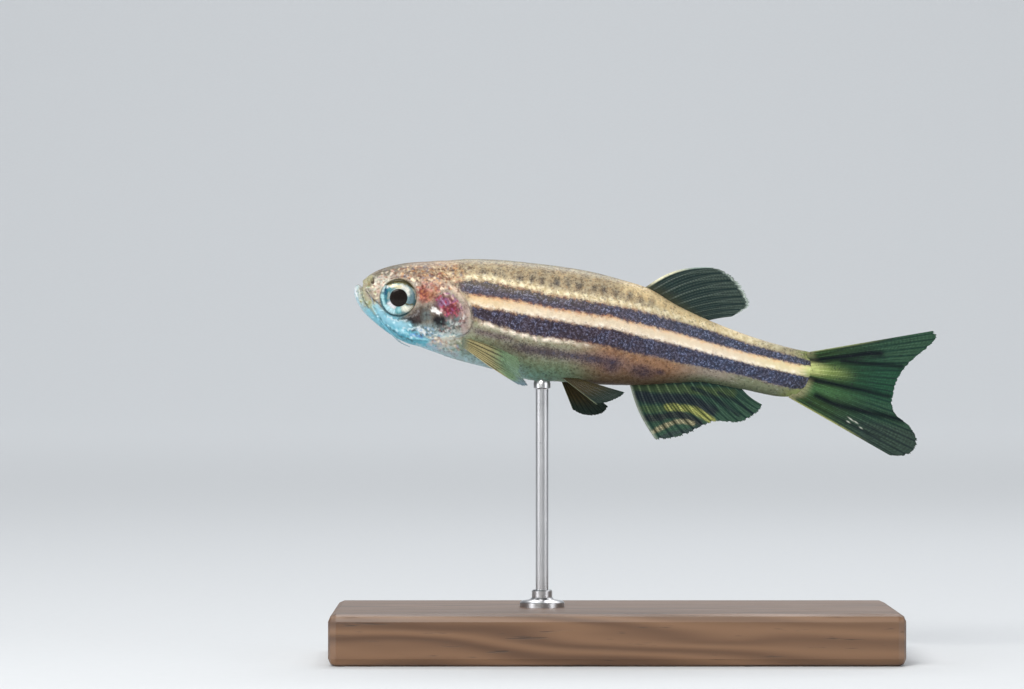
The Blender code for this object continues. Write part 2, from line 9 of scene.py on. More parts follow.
import bpy
import numpy as np
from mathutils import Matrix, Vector


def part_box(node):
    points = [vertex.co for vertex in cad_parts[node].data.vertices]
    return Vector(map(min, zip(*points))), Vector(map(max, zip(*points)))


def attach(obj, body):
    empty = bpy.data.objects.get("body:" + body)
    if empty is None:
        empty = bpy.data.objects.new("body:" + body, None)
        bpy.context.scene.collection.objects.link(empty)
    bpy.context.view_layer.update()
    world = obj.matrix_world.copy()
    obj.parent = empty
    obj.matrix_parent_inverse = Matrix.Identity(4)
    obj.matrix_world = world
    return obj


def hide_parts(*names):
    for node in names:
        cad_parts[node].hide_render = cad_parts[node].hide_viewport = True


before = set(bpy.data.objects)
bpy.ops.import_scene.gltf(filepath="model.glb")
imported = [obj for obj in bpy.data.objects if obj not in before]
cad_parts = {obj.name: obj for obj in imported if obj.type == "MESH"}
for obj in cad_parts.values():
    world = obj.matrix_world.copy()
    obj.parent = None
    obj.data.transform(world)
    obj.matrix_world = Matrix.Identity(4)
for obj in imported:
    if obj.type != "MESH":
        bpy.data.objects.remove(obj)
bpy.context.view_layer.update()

MM = 0.001
BODY = "root"

# Place and pose of the fish, as in its solids
PITCH = math.radians(10.5)
SNOUT = (-20.3, 0.0, 28.8)
BEND_START, BEND_END, BEND_SWAY = 14.0, 45.5, 0.9

# Outline of the body: (s, z) of the upper and lower edge and (s, y) of the side
BACK = ((0.0, 0.0), (0.12, 0.30), (0.40, 0.50), (0.62, 0.90), (1.0, 1.38), (2.0, 2.08), (3.5, 2.66),
        (5.5, 3.16), (8.0, 3.88), (12.0, 4.44), (17.5, 4.72), (21.0, 4.48), (22.4, 4.30), (25.0, 3.37),
        (28.0, 2.60), (32.0, 1.93), (35.0, 1.70), (36.6, 1.68))
BELLY = ((0.0, 0.0), (0.05, -0.32), (0.30, -0.80), (1.0, -1.58), (2.0, -2.22), (4.0, -3.08),
         (6.0, -3.50), (9.0, -3.93), (12.0, -4.14), (14.7, -4.43), (17.0, -4.14), (20.0, -3.82),
         (23.0, -3.33), (26.0, -2.60), (28.5, -2.12), (31.0, -2.13), (33.5, -2.20), (36.6, -1.95))
SIDE = ((0.0, 0.0), (0.10, 0.36), (0.40, 0.70), (1.0, 1.05), (2.0, 1.48), (3.5, 1.88), (5.0, 2.12),
        (7.0, 2.32), (9.5, 2.42), (13.0, 2.48), (17.0, 2.38), (22.0, 1.95), (27.0, 1.33), (31.0, 0.97),
        (34.0, 0.78), (36.6, 0.60))
WIDEST_LEVEL, BACK_FULLNESS, BELLY_FULLNESS = 0.54, 2.15, 2.0
BODY_END = 36.6
TAIL_END = ((35.6, 6.0), (35.75, 1.75), (36.15, 1.0), (36.32, 0.1), (36.15, -0.9), (35.6, -1.7),
            (34.95, -2.25), (34.2, -6.0))
TAIL_WARP, TAIL_TAPER, TAIL_OVERLAP = 33.0, 0.95, 0.30

# Lines on the head
GILL_OPENING = ((6.7, 6.0), (7.0, 3.4), (7.55, 2.0), (8.2, 1.25), (8.95, 0.45), (9.4, -0.4),
                (9.52, -1.2), (9.25, -1.75), (8.6, -2.15), (7.6, -2.6), (6.6, -3.05), (5.9, -3.6),
                (5.5, -6.0))
COVER_FRONT = ((6.5, -2.75), (6.15, -1.9), (5.95, -0.8), (6.05, 0.3), (6.5, 1.2), (7.2, 1.62))
COVER_SEAM = ((6.1, -1.7), (7.0, -2.0), (7.9, -1.95), (8.7, -1.6), (9.2, -1.1))
JAW_RAYS = (((4.6, -2.75), (5.8, -2.75), (7.0, -2.45), (8.3, -1.98)),
            ((4.4, -3.0), (5.8, -3.05), (7.0, -2.78), (7.9, -2.4)))
MOUTH = ((0.40, 0.66), (0.47, 0.40), (0.56, 0.05), (0.74, -0.48), (1.04, -0.92), (1.38, -1.28))
MOUTH_FOLD = ((1.38, -1.28), (2.13, -1.95), (3.15, -2.55), (4.1, -2.97))
MOUTH_NOTCH, LIP_TIP = (0.44, 0.52), (0.14, 0.12)
CHEEK_GROOVE = ((0.62, 0.34), (0.84, 0.08), (1.16, -0.15), (1.46, -0.42), (1.98, -0.70), (2.36, -0.92),
                (2.75, -1.22))
EYE_CENTRE, EYE_RADIUS, EYE_HALF_DEPTH, EYE_LEVEL = (3.55, -0.02), 1.46, 0.80, 1.36
PUPIL_RADIUS = 0.70
EYE_FLATNESS = 4.0
NOSTRIL, NOSTRIL_SLANT = (1.28, 0.92), 24

# Pattern of the flank as (s, upper edge, lower edge)
UPPER_STRIPE = ((7.8, 1.90, 1.60), (8.4, 2.22, 1.32), (10.0, 2.40, 1.36), (12.0, 2.35, 1.47),
                (13.5, 2.37, 1.50), (15.0, 2.23, 1.44), (17.0, 2.33, 1.48), (19.0, 2.35, 1.54),
                (20.0, 2.37, 1.64), (22.0, 2.36, 1.49), (25.0, 2.13, 1.34), (28.0, 1.80, 1.05),
                (31.0, 1.36, 0.79), (33.0, 1.19, 0.72), (34.0, 1.11, 0.67), (35.0, 1.06, 0.63),
                (36.6, 0.90, 0.70))
LOWER_STRIPE = ((8.95, 0.30, -0.35), (9.4, 0.38, -0.50), (10.5, 0.33, -0.52), (12.0, 0.39, -0.77),
                (13.0, 0.41, -0.88), (15.0, 0.41, -0.93), (17.0, 0.40, -0.76), (20.0, 0.54, -0.70),
                (22.0, 0.43, -0.85), (24.0, 0.33, -0.83), (26.0, 0.21, -0.96), (28.0, 0.05, -0.96),
                (31.0, -0.15, -1.04), (32.0, -0.21, -1.08), (33.0, -0.23, -1.22), (35.0, -0.32, -1.34),
                (36.0, -0.34, -1.18), (36.8, -0.36, -0.76))
STRIPE_BLUR, SPOT_SPACING = 0.10, 0.96


# Curves and sums over whole arrays

def rise(x, low, high):
    """A soft step from 0 at low to 1 at high, or down again where high is under low."""
    t = np.clip((x - low) / (high - low), 0.0, 1.0)
    return t * t * (3 - 2 * t)


def hump(x, width):
    """A soft bump, 1 where x is 0."""
    return np.exp(-(x / width) ** 2)


def unit(vectors):
    return vectors / np.linalg.norm(vectors, axis=-1, keepdims=True)


def from_point(s, z, point):
    return np.hypot(s - point[0], z - point[1])


def turned(s, z, centre, slant):
    """Places as seen from a centre, along and across a line at a slant in degrees."""
    turn = math.radians(slant)
    run, climb = s - centre[0], z - centre[1]
    return (run * math.cos(turn) + climb * math.sin(turn),
            climb * math.cos(turn) - run * math.sin(turn))


def smooth(stations, s):
    """Reads an outline at s along one smooth curve that never swings past its points."""
    knots = np.sqrt([station[0] for station in stations])
    values = np.array([station[1] for station in stations])
    at = np.clip(np.sqrt(np.maximum(s, 0.0)), knots[0], knots[-1])
    slopes = np.diff(values) / np.diff(knots)
    tangents = np.empty(len(knots))
    tangents[0], tangents[-1] = slopes[0], slopes[-1]
    product = slopes[:-1] * slopes[1:]
    total = np.where(product > 0, slopes[:-1] + slopes[1:], 1.0)
    tangents[1:-1] = np.where(product > 0, 2 * product / total, 0.0)
    i = np.clip(np.searchsorted(knots, at, side="right") - 1, 0, len(knots) - 2)
    width = knots[i + 1] - knots[i]
    t = (at - knots[i]) / width
    return (values[i] * (1 + 2 * t) * (1 - t) ** 2 + values[i + 1] * t * t * (3 - 2 * t)
            + width * (tangents[i] * t * (1 - t) ** 2 - tangents[i + 1] * t * t * (1 - t)))


def along(points, t):
    """Places at the shares t of a smooth curve through the points."""
    points = np.array(points, float)
    points = np.vstack([2 * points[0] - points[1], points, 2 * points[-1] - points[-2]])
    place = np.clip(t, 0.0, 1.0) * (len(points) - 3)
    i = np.minimum(place.astype(int), len(points) - 4)
    f = (place - i)[..., None]
    before, a, b, after = (points[i + k] for k in range(4))
    return 0.5 * (2 * a + (b - before) * f + (2 * before - 5 * a + 4 * b - after) * f ** 2
                  + (3 * a - before - 3 * b + after) * f ** 3)


def curve_points(points, steps=8):
    return along(points, np.linspace(0.0, 1.0, steps * (len(points) - 1) + 1))


def distance(s, z, points):
    """Distance in side view from each place to a smooth line through the points."""
    line = curve_points(points)
    nearest = np.full(s.shape, 99.0)
    for (a, b), (c, d) in zip(line, line[1:]):
        run, climb = c - a, d - b
        share = np.clip(((s - a) * run + (z - b) * climb) / (run * run + climb * climb), 0.0, 1.0)
        nearest = np.minimum(nearest, np.hypot(s - a - share * run, z - b - share * climb))
    return nearest


def line_at(points, z):
    """s of a line that runs downwards, at the height z."""
    line = curve_points(points)[::-1]
    return np.interp(z, line[:, 1], line[:, 0])


def behind(s, z, points):
    """Distance to a line that runs downwards, negative ahead of it."""
    return distance(s, z, points) * np.where(s < line_at(points, z), -1.0, 1.0)


# Surface of the body

def section(s):
    top, bottom = smooth(BACK, s), smooth(BELLY, s)
    return top, bottom, bottom + (top - bottom) * WIDEST_LEVEL, smooth(SIDE, s)


def flank(s, z):
    """Half width of the body at the height z."""
    top, bottom, level, half = section(s)
    depth = np.where(z > level, top - level, level - bottom)
    fullness = np.where(z > level, BACK_FULLNESS, BELLY_FULLNESS)
    return half * (1 - np.minimum(abs(z - level) / depth, 1.0) ** fullness) ** (1 / fullness)


def under_side(s, y):
    _, bottom, level, half = section(s)
    share = np.minimum(abs(y) / half, 1.0)
    return level - (level - bottom) * (1 - share ** BELLY_FULLNESS) ** (1 / BELLY_FULLNESS)


def surface(s, turn):
    """The plain body at s and at a share of a turn: 0 right side, 1/4 back, 1/2 left side, 3/4 belly."""
    s, turn = np.broadcast_arrays(np.asarray(s, float), np.asarray(turn, float))
    top, bottom, level, half = section(s)
    across, up = np.cos(math.tau * turn), np.sin(math.tau * turn)
    power = np.where(up > 0, 2 / BACK_FULLNESS, 2 / BELLY_FULLNESS)
    z = level + np.where(up > 0, top - level, bottom - level) * abs(up) ** power
    y = np.sign(across) * half * abs(across) ** power
    tail = rise(s, TAIL_WARP, BODY_END)
    end = line_at(TAIL_END, z) + TAIL_OVERLAP
    x = s + np.clip((s - TAIL_WARP) / (BODY_END - TAIL_WARP), 0.0, 1.0) ** 2 * (end - BODY_END)
    return np.stack([x, y * (1 - TAIL_TAPER * tail ** 1.5), z], -1)


def sway(s):
    return BEND_SWAY * np.clip((s - BEND_START) / (BEND_END - BEND_START), 0.0, None) ** 2


def placed(points):
    """Fish millimetres to metres in the row frame."""
    s, y, z = points[..., 0], points[..., 1] + sway(points[..., 0]), points[..., 2]
    pitched = np.stack([s * math.cos(PITCH) + z * math.sin(PITCH), y,
                        z * math.cos(PITCH) - s * math.sin(PITCH)], -1)
    return (pitched + np.array(SNOUT)) * MM


def grid_normals(points, closed_across):
    """Normals of a grid of places, the cross product of its two runs."""
    down = np.gradient(points, axis=0)
    if closed_across:
        wide = np.concatenate([points[:, -1:], points, points[:, :1]], axis=1)
        over = np.gradient(wide, axis=1)[:, 1:-1]
    else:
        over = np.gradient(points, axis=1)
    normal = np.cross(down, over)
    return normal / np.maximum(np.linalg.norm(normal, axis=-1, keepdims=True), 1e-9)


def relief(s, z):
    """Rise of the skin over the plain body, in millimetres."""
    mouth = distance(s, z, MOUTH)
    shut = rise(s, 1.55, 1.05)
    gape = 0.05 + 0.03 * rise(s, 0.60, 0.30)
    height = -0.17 * hump(mouth, gape) * (0.30 + 0.70 * shut)
    height += 0.06 * hump(mouth - 0.22, 0.12) * shut
    height -= 0.20 * hump(from_point(s, z, MOUTH_NOTCH), 0.13)
    height += 0.07 * hump(from_point(s, z, LIP_TIP), 0.22)
    height -= 0.06 * hump(distance(s, z, MOUTH_FOLD), 0.09)

    out = from_point(s, z, EYE_CENTRE)
    height -= 0.95 * rise(out, 1.42, 1.34)
    height += 0.04 * hump(out - 1.56, 0.13)
    height += 0.05 * hump(out - 1.9, 0.16) * rise(z, 0.5, 1.3)

    turn_s, turn_z = turned(s, z, NOSTRIL, NOSTRIL_SLANT)
    hole = np.hypot(turn_s / 0.13, turn_z / 0.25)
    height -= 0.26 * rise(hole, 1.15, 0.75)
    height += 0.07 * hump(hole - 1.45, 0.35)
    height += 0.05 * hump(np.hypot((turn_s + 0.2) / 0.10, turn_z / 0.2), 1.0)

    height -= 0.05 * hump(distance(s, z, CHEEK_GROOVE), 0.08)
    cover = distance(s, z, COVER_FRONT)
    ahead = np.where(s < 5.5, 1.0, np.sign(line_at(COVER_FRONT[::-1], z) - s))
    height -= 0.022 * hump(cover, 0.09)
    height += 0.02 * hump(cover - 0.22, 0.16) * np.where(ahead < 0, 1.0, 0.4)
    height -= 0.02 * hump(distance(s, z, COVER_SEAM), 0.06)
    for ray in JAW_RAYS:
        height -= 0.04 * hump(distance(s, z, ray), 0.06)
    for k in range(5):
        spoke = ((6.5, 0.9 - 0.1 * k), (7.2 + 0.1 * k, 0.3 - 0.35 * k), (8.5 - 0.1 * k, 0.1 - 0.52 * k))
        height += 0.016 * hump(distance(s, z, spoke), 0.07)

    open_below = rise(z, 2.1, 1.3)
    gill = behind(s, z, GILL_OPENING)
    head = np.where(gill < 0, rise(s, 1.5, 4.5), 0.0)
    open_below = open_below * rise(z, -3.0, -1.7)
    height += 0.10 * head * (open_below + (1 - open_below) * rise(gill, 0.0, -1.2))
    height += 0.03 * hump(gill + 0.07, 0.06) * open_below
    height -= np.where(gill >= 0, 0.12 * np.exp(-(np.maximum(gill, 0.0) / 0.14) ** 1.4), 0.0) * open_below
    return height


# Colours of the skin

def ripple(s, z, phase):
    """A smooth wandering value from about -1 to 1."""
    return (np.sin(7.3 * s + 3.1 * z + phase) + np.sin(4.1 * s - 8.7 * z + 2 * phase)
            + np.sin(13.7 * s + 9.2 * z + 3 * phase) + np.sin(-11.9 * s + 15.3 * z + phase)) / 3.2


def mixed(base, colour, share):
    """Colours moved from base towards colour by a share from 0 to 1 at each place."""
    base = np.asarray(base)
    return base + (np.asarray(colour) - base) * share[..., None]


def toward(value, goal, share):
    return value + (goal - value) * share


def clouds(s, z, scale, phase, contrast):
    """Soft patches between 0 and 1."""
    return np.clip(0.5 + contrast * ripple(scale * s, scale * z, phase), 0.0, 1.0)


def banded(s, z, table):
    """How far each place is inside a stripe, with the stripe's upper and lower edge."""
    table = np.array(table)
    top = np.interp(s, table[:, 0], table[:, 1])
    low = np.interp(s, table[:, 0], table[:, 2])
    outer, inner = 1.7 * STRIPE_BLUR, 0.3 * STRIPE_BLUR
    inside = rise(z, low - outer, low + inner) * rise(z, top + outer, top - inner)
    first, last = table[0, 0], table[-1, 0]
    ends = rise(s, first - 0.25, first + 0.25) * rise(s, last + 0.2, last - 0.2)
    return inside * ends, top, low


def patch(s, z, centre, size, slant, edge):
    """A soft oval: 1 inside, falling to 0 over the share edge of its size."""
    a, b = turned(s, z, centre, slant)
    return rise(np.hypot(a / size[0], b / size[1]), 1 + edge, 1 - edge)


def stroke(s, z, line, wide, edge):
    """A brush stroke: 1 on its line, falling to 0 over the share edge of its half width."""
    return rise(distance(s, z, line), wide * (1 + edge), wide * (1 - edge))


HEAD_SHADE = 0.78

# Soft patches of the head: centre, half sizes, slant in degrees, edge, colour, strength, speckle
HEAD_PATCHES = (
    ((4.9, 2.35), (3.2, 0.85), 12, 0.6, (0.47, 0.37, 0.27), 0.95, 0.36),
    ((7.4, 2.95), (1.6, 1.0), 10, 0.6, (0.72, 0.53, 0.34), 0.9, 0.28),
    ((2.4, 1.85), (1.4, 0.40), 33, 0.6, (0.19, 0.18, 0.13), 0.88, 0.25),
    ((2.1, 0.95), (0.85, 0.62), 25, 0.5, (0.58, 0.58, 0.49), 0.95, 0.06),
    ((1.75, 0.15), (0.36, 0.55), 10, 0.6, (0.68, 0.54, 0.42), 0.85, 0.05),
    ((0.95, 1.0), (0.40, 0.36), 40, 0.6, (0.60, 0.59, 0.37), 0.9, 0.10),
    ((0.62, -0.60), (0.24, 0.80), 27, 0.6, (0.50, 0.58, 0.52), 0.9, 0.05),
    ((1.6, -0.95), (0.45, 0.30), -42, 0.6, (0.56, 0.60, 0.38), 0.85, 0.16),
    ((3.4, -2.05), (2.4, 0.80), -14, 0.5, (0.13, 0.46, 0.60), 0.95, 0.0),
    ((5.3, -3.0), (2.6, 0.60), -14, 0.5, (0.15, 0.58, 0.75), 0.9, 0.03),
    ((5.45, 0.62), (0.62, 0.66), 5, 0.5, (0.27, 0.06, 0.045), 0.95, 0.10),
    ((6.15, 0.75), (0.42, 0.55), 5, 0.6, (0.50, 0.22, 0.12), 0.85, 0.10),
    ((5.9, 1.55), (1.1, 0.45), -6, 0.6, (0.56, 0.36, 0.27), 0.8, 0.25),
    ((8.0, 1.25), (0.75, 0.24), -38, 0.6, (0.80, 0.62, 0.46), 0.85, 0.08),
    ((5.0, -1.42), (1.0, 0.48), 14, 0.6, (0.012, 0.014, 0.018), 0.97, 0.14),
    ((5.45, -0.85), (0.72, 0.50), 40, 0.6, (0.085, 0.060, 0.055), 0.9, 0.16),
    ((5.95, -0.95), (0.42, 0.46), 10, 0.6, (0.15, 0.19, 0.19), 0.85, 0.08),
    ((6.9, -0.2), (0.75, 0.75), 0, 0.6, (0.17, 0.13, 0.13), 0.8, 0.1),
    ((7.55, 0.02), (0.98, 0.70), -30, 0.5, (0.20, 0.028, 0.045), 0.98, 0.06),
    ((7.05, 0.22), (0.42, 0.26), 20, 0.7, (0.36, 0.21, 0.40), 0.9, 0.05),
    ((8.55, -0.45), (0.45, 0.75), -14, 0.6, (0.43, 0.27, 0.28), 0.8, 0.10),
    ((7.8, -1.15), (1.15, 0.55), 22, 0.5, (0.14, 0.14, 0.15), 0.85, 0.08),
    ((6.95, -1.18), (0.62, 0.42), -6, 0.5, (0.010, 0.009, 0.013), 1.0, 0.0),
    ((6.3, -1.95), (0.8, 0.42), 14, 0.6, (0.20, 0.30, 0.32), 0.8, 0.10),
    ((8.95, -1.1), (0.30, 1.0), 14, 0.6, (0.44, 0.35, 0.33), 0.8, 0.08),
)

STROKE_SHADE = 0.9

# Brush strokes of the head: points, half width, edge, colour, strength
HEAD_STROKES = (
    (((0.56, 0.78), (0.66, 0.35), (0.84, -0.18), (1.12, -0.62), (1.5, -1.05), (1.9, -1.45)), 0.17, 0.9,
     (0.44, 0.44, 0.27), 0.66),
    (((0.62, 0.70), (0.68, 0.40)), 0.05, 0.9, (0.74, 0.72, 0.50), 0.6),
    (((0.10, 0.25), (0.12, -0.25), (0.38, -0.85), (0.82, -1.40), (1.4, -1.92)), 0.22, 0.7,
     (0.48, 0.74, 0.84), 0.92),
    (((0.14, 0.20), (0.16, -0.15), (0.30, -0.50)), 0.11, 0.8, (1.0, 1.0, 1.0), 0.85),
    (((1.25, -1.45), (1.7, -1.85), (2.2, -2.15)), 0.22, 0.7, (0.25, 0.58, 0.70), 0.85),
    (((1.9, -0.98), (2.5, -1.58), (3.2, -1.88), (4.0, -1.98), (4.6, -1.92)), 0.26, 0.8,
     (0.40, 0.72, 0.84), 0.85),
    (((2.6, -2.05), (3.3, -2.38), (4.2, -2.55), (5.0, -2.55)), 0.09, 0.8, (0.48, 0.84, 0.95), 0.65),
    # Painted shade along the fold behind the mouth.
    (((2.16, -1.66), (2.5, -2.0), (3.15, -2.36), (4.1, -2.82), (5.2, -3.05)), 0.060, 0.9,
     (0.06, 0.20, 0.26), 0.85),
    # Painted highlight: a white streak of light on the cheek.
    (((3.0, -1.62), (3.8, -1.74), (4.5, -1.62)), 0.07, 0.8, (0.86, 0.98, 1.0), 0.7),
    (((4.1, -2.36), (5.1, -2.70), (6.4, -2.88)), 0.09, 0.9, (0.46, 0.88, 1.0), 0.75),
    (((2.9, -2.30), (3.8, -2.62), (4.6, -2.86)), 0.08, 0.9, (0.08, 0.34, 0.50), 0.55),
    # Painted highlight: a white streak of light on the cheek.
    (((4.3, -2.22), (4.8, -2.22), (5.3, -2.10)), 0.07, 0.8, (0.86, 0.96, 0.98), 0.85),
    (((5.55, -2.05), (5.85, -2.22), (6.05, -2.35)), 0.13, 0.6, (0.98, 1.0, 1.0), 1.0),
    (((5.0, -2.62), (5.45, -2.60), (5.85, -2.62)), 0.12, 0.6, (0.16, 0.38, 0.86), 0.9),
    (((6.1, -2.6), (6.9, -2.55), (7.6, -2.35)), 0.06, 0.8, (0.72, 0.78, 0.74), 0.8),
    (((6.57, -2.42), (7.4, -2.05), (8.07, -1.6), (8.6, -1.0), (8.85, -0.45)), 0.07, 0.8,
     (0.78, 0.80, 0.76), 0.75),
    (((6.7, -1.95), (7.5, -1.62), (8.1, -1.15)), 0.05, 0.8, (0.66, 0.72, 0.72), 0.6),
    (((6.9, -2.75), (7.6, -2.52), (8.3, -2.15)), 0.10, 0.7, (0.92, 0.86, 0.70), 0.85),
    (((7.4, -2.95), (8.2, -2.72), (8.8, -2.45)), 0.08, 0.7, (0.82, 0.86, 0.80), 0.75),
    (((6.6, -3.0), (7.4, -2.78), (8.2, -2.45), (8.8, -2.2)), 0.14, 0.8, (0.66, 0.58, 0.50), 0.75),
    (((7.2, -3.15), (7.9, -3.02), (8.6, -2.85)), 0.10, 0.8, (0.72, 0.66, 0.62), 0.7),
    (((6.4, -3.2), (7.5, -3.4), (8.8, -3.5)), 0.12, 0.8, (0.50, 0.52, 0.62), 0.7),
    (((8.9, -2.9), (9.9, -3.05), (11.2, -3.2)), 0.10, 0.9, (0.58, 0.66, 0.52), 0.5),
    (((5.6, -3.35), (7.2, -3.60), (9.1, -3.85), (11.0, -4.0)), 0.10, 0.8, (0.52, 0.74, 0.82), 0.8),
    # Painted highlight: two white strokes for the glint of light on the gill cover.
    (((6.24, -0.56), (6.58, -0.54), (6.98, -0.58)), 0.11, 0.5, (1.0, 0.99, 0.96), 1.0),
    (((6.46, -0.32), (6.62, -0.44), (6.78, -0.54)), 0.14, 0.5, (1.0, 0.99, 0.96), 1.0),
    (((6.85, -0.35), (7.3, -0.5), (7.7, -0.45)), 0.06, 0.8, (0.60, 0.30, 0.34), 0.8),
    (((6.75, 0.55), (7.05, 0.30), (7.35, 0.05)), 0.05, 0.8, (0.66, 0.50, 0.68), 0.6),
    (((7.3, 0.62), (7.6, 0.35), (8.0, 0.30)), 0.05, 0.8, (0.66, 0.30, 0.40), 0.8),
    (((7.1, -0.15), (7.5, -0.12), (7.9, -0.3)), 0.06, 0.8, (0.20, 0.03, 0.07), 0.8),
    (((7.6, 0.75), (8.1, 0.45), (8.5, 0.0), (8.75, -0.5)), 0.06, 0.8, (0.60, 0.34, 0.30), 0.7),
    (((6.6, 1.45), (7.3, 1.55), (8.0, 1.30), (8.6, 0.80), (9.05, 0.15), (9.2, -0.7)), 0.06, 0.9,
     (0.66, 0.46, 0.40), 0.45),
    (((5.15, 0.25), (5.25, 0.7), (5.1, 1.15)), 0.07, 0.8, (0.26, 0.05, 0.04), 0.8),
    (((2.2, 1.25), (2.9, 1.62), (3.8, 1.72), (4.6, 1.42)), 0.10, 0.8, (0.80, 0.72, 0.60), 0.75),
    (((4.75, 1.20), (5.05, 0.75), (5.08, 0.2)), 0.07, 0.8, (0.84, 0.76, 0.64), 0.7),
    (((1.55, 0.62), (1.95, 0.75), (2.2, 1.0)), 0.07, 0.8, (0.84, 0.76, 0.62), 0.7),
    (((1.05, 0.68), (1.15, 0.58)), 0.09, 0.8, (0.26, 0.20, 0.07), 0.8),
    (((1.42, 0.98), (1.75, 1.22), (2.3, 1.45)), 0.08, 0.8, (0.86, 0.80, 0.66), 0.6),
    (((4.4, -1.35), (4.9, -1.2), (5.3, -0.7)), 0.05, 0.8, (0.36, 0.36, 0.36), 0.6),
)

# Zones of short bright and dark flecks: centre, half sizes, slant, number, colours
FLECKS = (
    ((5.2, 2.45), (3.6, 0.95), 12, 270,
     ((0.13, 0.06, 0.04), (0.55, 0.30, 0.14), (0.82, 0.68, 0.46), (0.22, 0.20, 0.23), (0.30, 0.16, 0.11))),
    ((7.0, 1.9), (1.5, 0.7), -8, 60,
     ((0.16, 0.07, 0.05), (0.66, 0.38, 0.20), (0.85, 0.70, 0.48), (0.30, 0.12, 0.10))),
    ((5.65, 0.85), (1.0, 0.8), 0, 60,
     ((0.18, 0.03, 0.02), (0.52, 0.20, 0.09), (0.50, 0.20, 0.15), (0.26, 0.07, 0.07))),
    ((7.5, 0.1), (1.1, 0.85), -30, 64,
     ((0.34, 0.02, 0.05), (0.09, 0.01, 0.02), (0.52, 0.10, 0.16), (0.16, 0.02, 0.05), (0.27, 0.11, 0.25),
      (0.66, 0.42, 0.42))),
    ((3.5, -2.05), (2.3, 0.75), -14, 30,
     ((0.64, 0.88, 0.94), (0.30, 0.66, 0.78), (0.24, 0.50, 0.60), (0.62, 0.86, 0.94))),
    ((8.0, -1.40), (1.1, 0.70), 20, 64,
     ((0.46, 0.50, 0.48), (0.05, 0.05, 0.06), (0.28, 0.15, 0.15), (0.12, 0.20, 0.21))),
    ((6.2, -2.3), (1.2, 0.5), 0, 36,
     ((0.80, 0.86, 0.86), (0.10, 0.16, 0.20), (0.24, 0.42, 0.60))),
    ((8.0, -2.9), (2.0, 0.50), -4, 36,
     ((0.84, 0.76, 0.62), (0.34, 0.22, 0.18), (0.36, 0.42, 0.58), (0.50, 0.34, 0.28))),
    ((2.2, 1.0), (1.2, 0.9), 30, 60,
     ((0.42, 0.27, 0.20), (0.76, 0.67, 0.55), (0.60, 0.40, 0.34), (0.30, 0.26, 0.18))),
    ((1.2, -0.3), (0.7, 0.9), 25, 30,
     ((0.30, 0.32, 0.14), (0.84, 0.84, 0.56), (0.46, 0.52, 0.40))),
)

# Shining zones, silvery skin where the skin material also paints glints: centre, half sizes, slant
SILVER = ((3.2, -2.1), (2.6, 1.1), -18), ((0.5, -0.5), (0.6, 1.0), 26), ((6.65, -0.62), (0.5, 0.25), 0)

# Blotches before the anal fin: place and half sizes
BLOTCHES = ((20.8, -2.25, 0.62, 0.50), (23.2, -2.2, 1.0, 0.52), (19.6, -1.95, 0.35, 0.25),
            (24.6, -2.0, 0.4, 0.22))
FLECK_LONG, FLECK_WIDE, FLECK_LEAN, FLECK_SHARE = (0.06, 0.16), (0.04, 0.08), 35.0, 0.88
FLECKLESS_RADIUS = 1.55


def flecked(colour, s, z):
    """Strews the head's flecks over the colours, the same ones on every mesh."""
    dice = np.random.default_rng(11)
    colour = colour.copy()
    for centre, size, slant, count, tints in FLECKS:
        turn = math.radians(slant)
        for _ in range(count):
            away, side = math.sqrt(dice.random()), math.tau * dice.random()
            a, b = away * math.cos(side) * size[0], away * math.sin(side) * size[1]
            at_s = centre[0] + a * math.cos(turn) - b * math.sin(turn)
            at_z = centre[1] + a * math.sin(turn) + b * math.cos(turn)
            long, wide = dice.uniform(*FLECK_LONG), dice.uniform(*FLECK_WIDE)
            lean = slant + dice.normal(0.0, FLECK_LEAN)
            tint = tints[dice.integers(len(tints))]
            if from_point(at_s, at_z, EYE_CENTRE) < FLECKLESS_RADIUS:
                continue
            near = np.nonzero((abs(s - at_s) < 2.0 * long) & (abs(z - at_z) < 2.0 * long))
            share = patch(s[near], z[near], (at_s, at_z), (long, wide), lean, 0.7) * FLECK_SHARE
            colour[near] = mixed(colour[near], tint, share)
    return colour


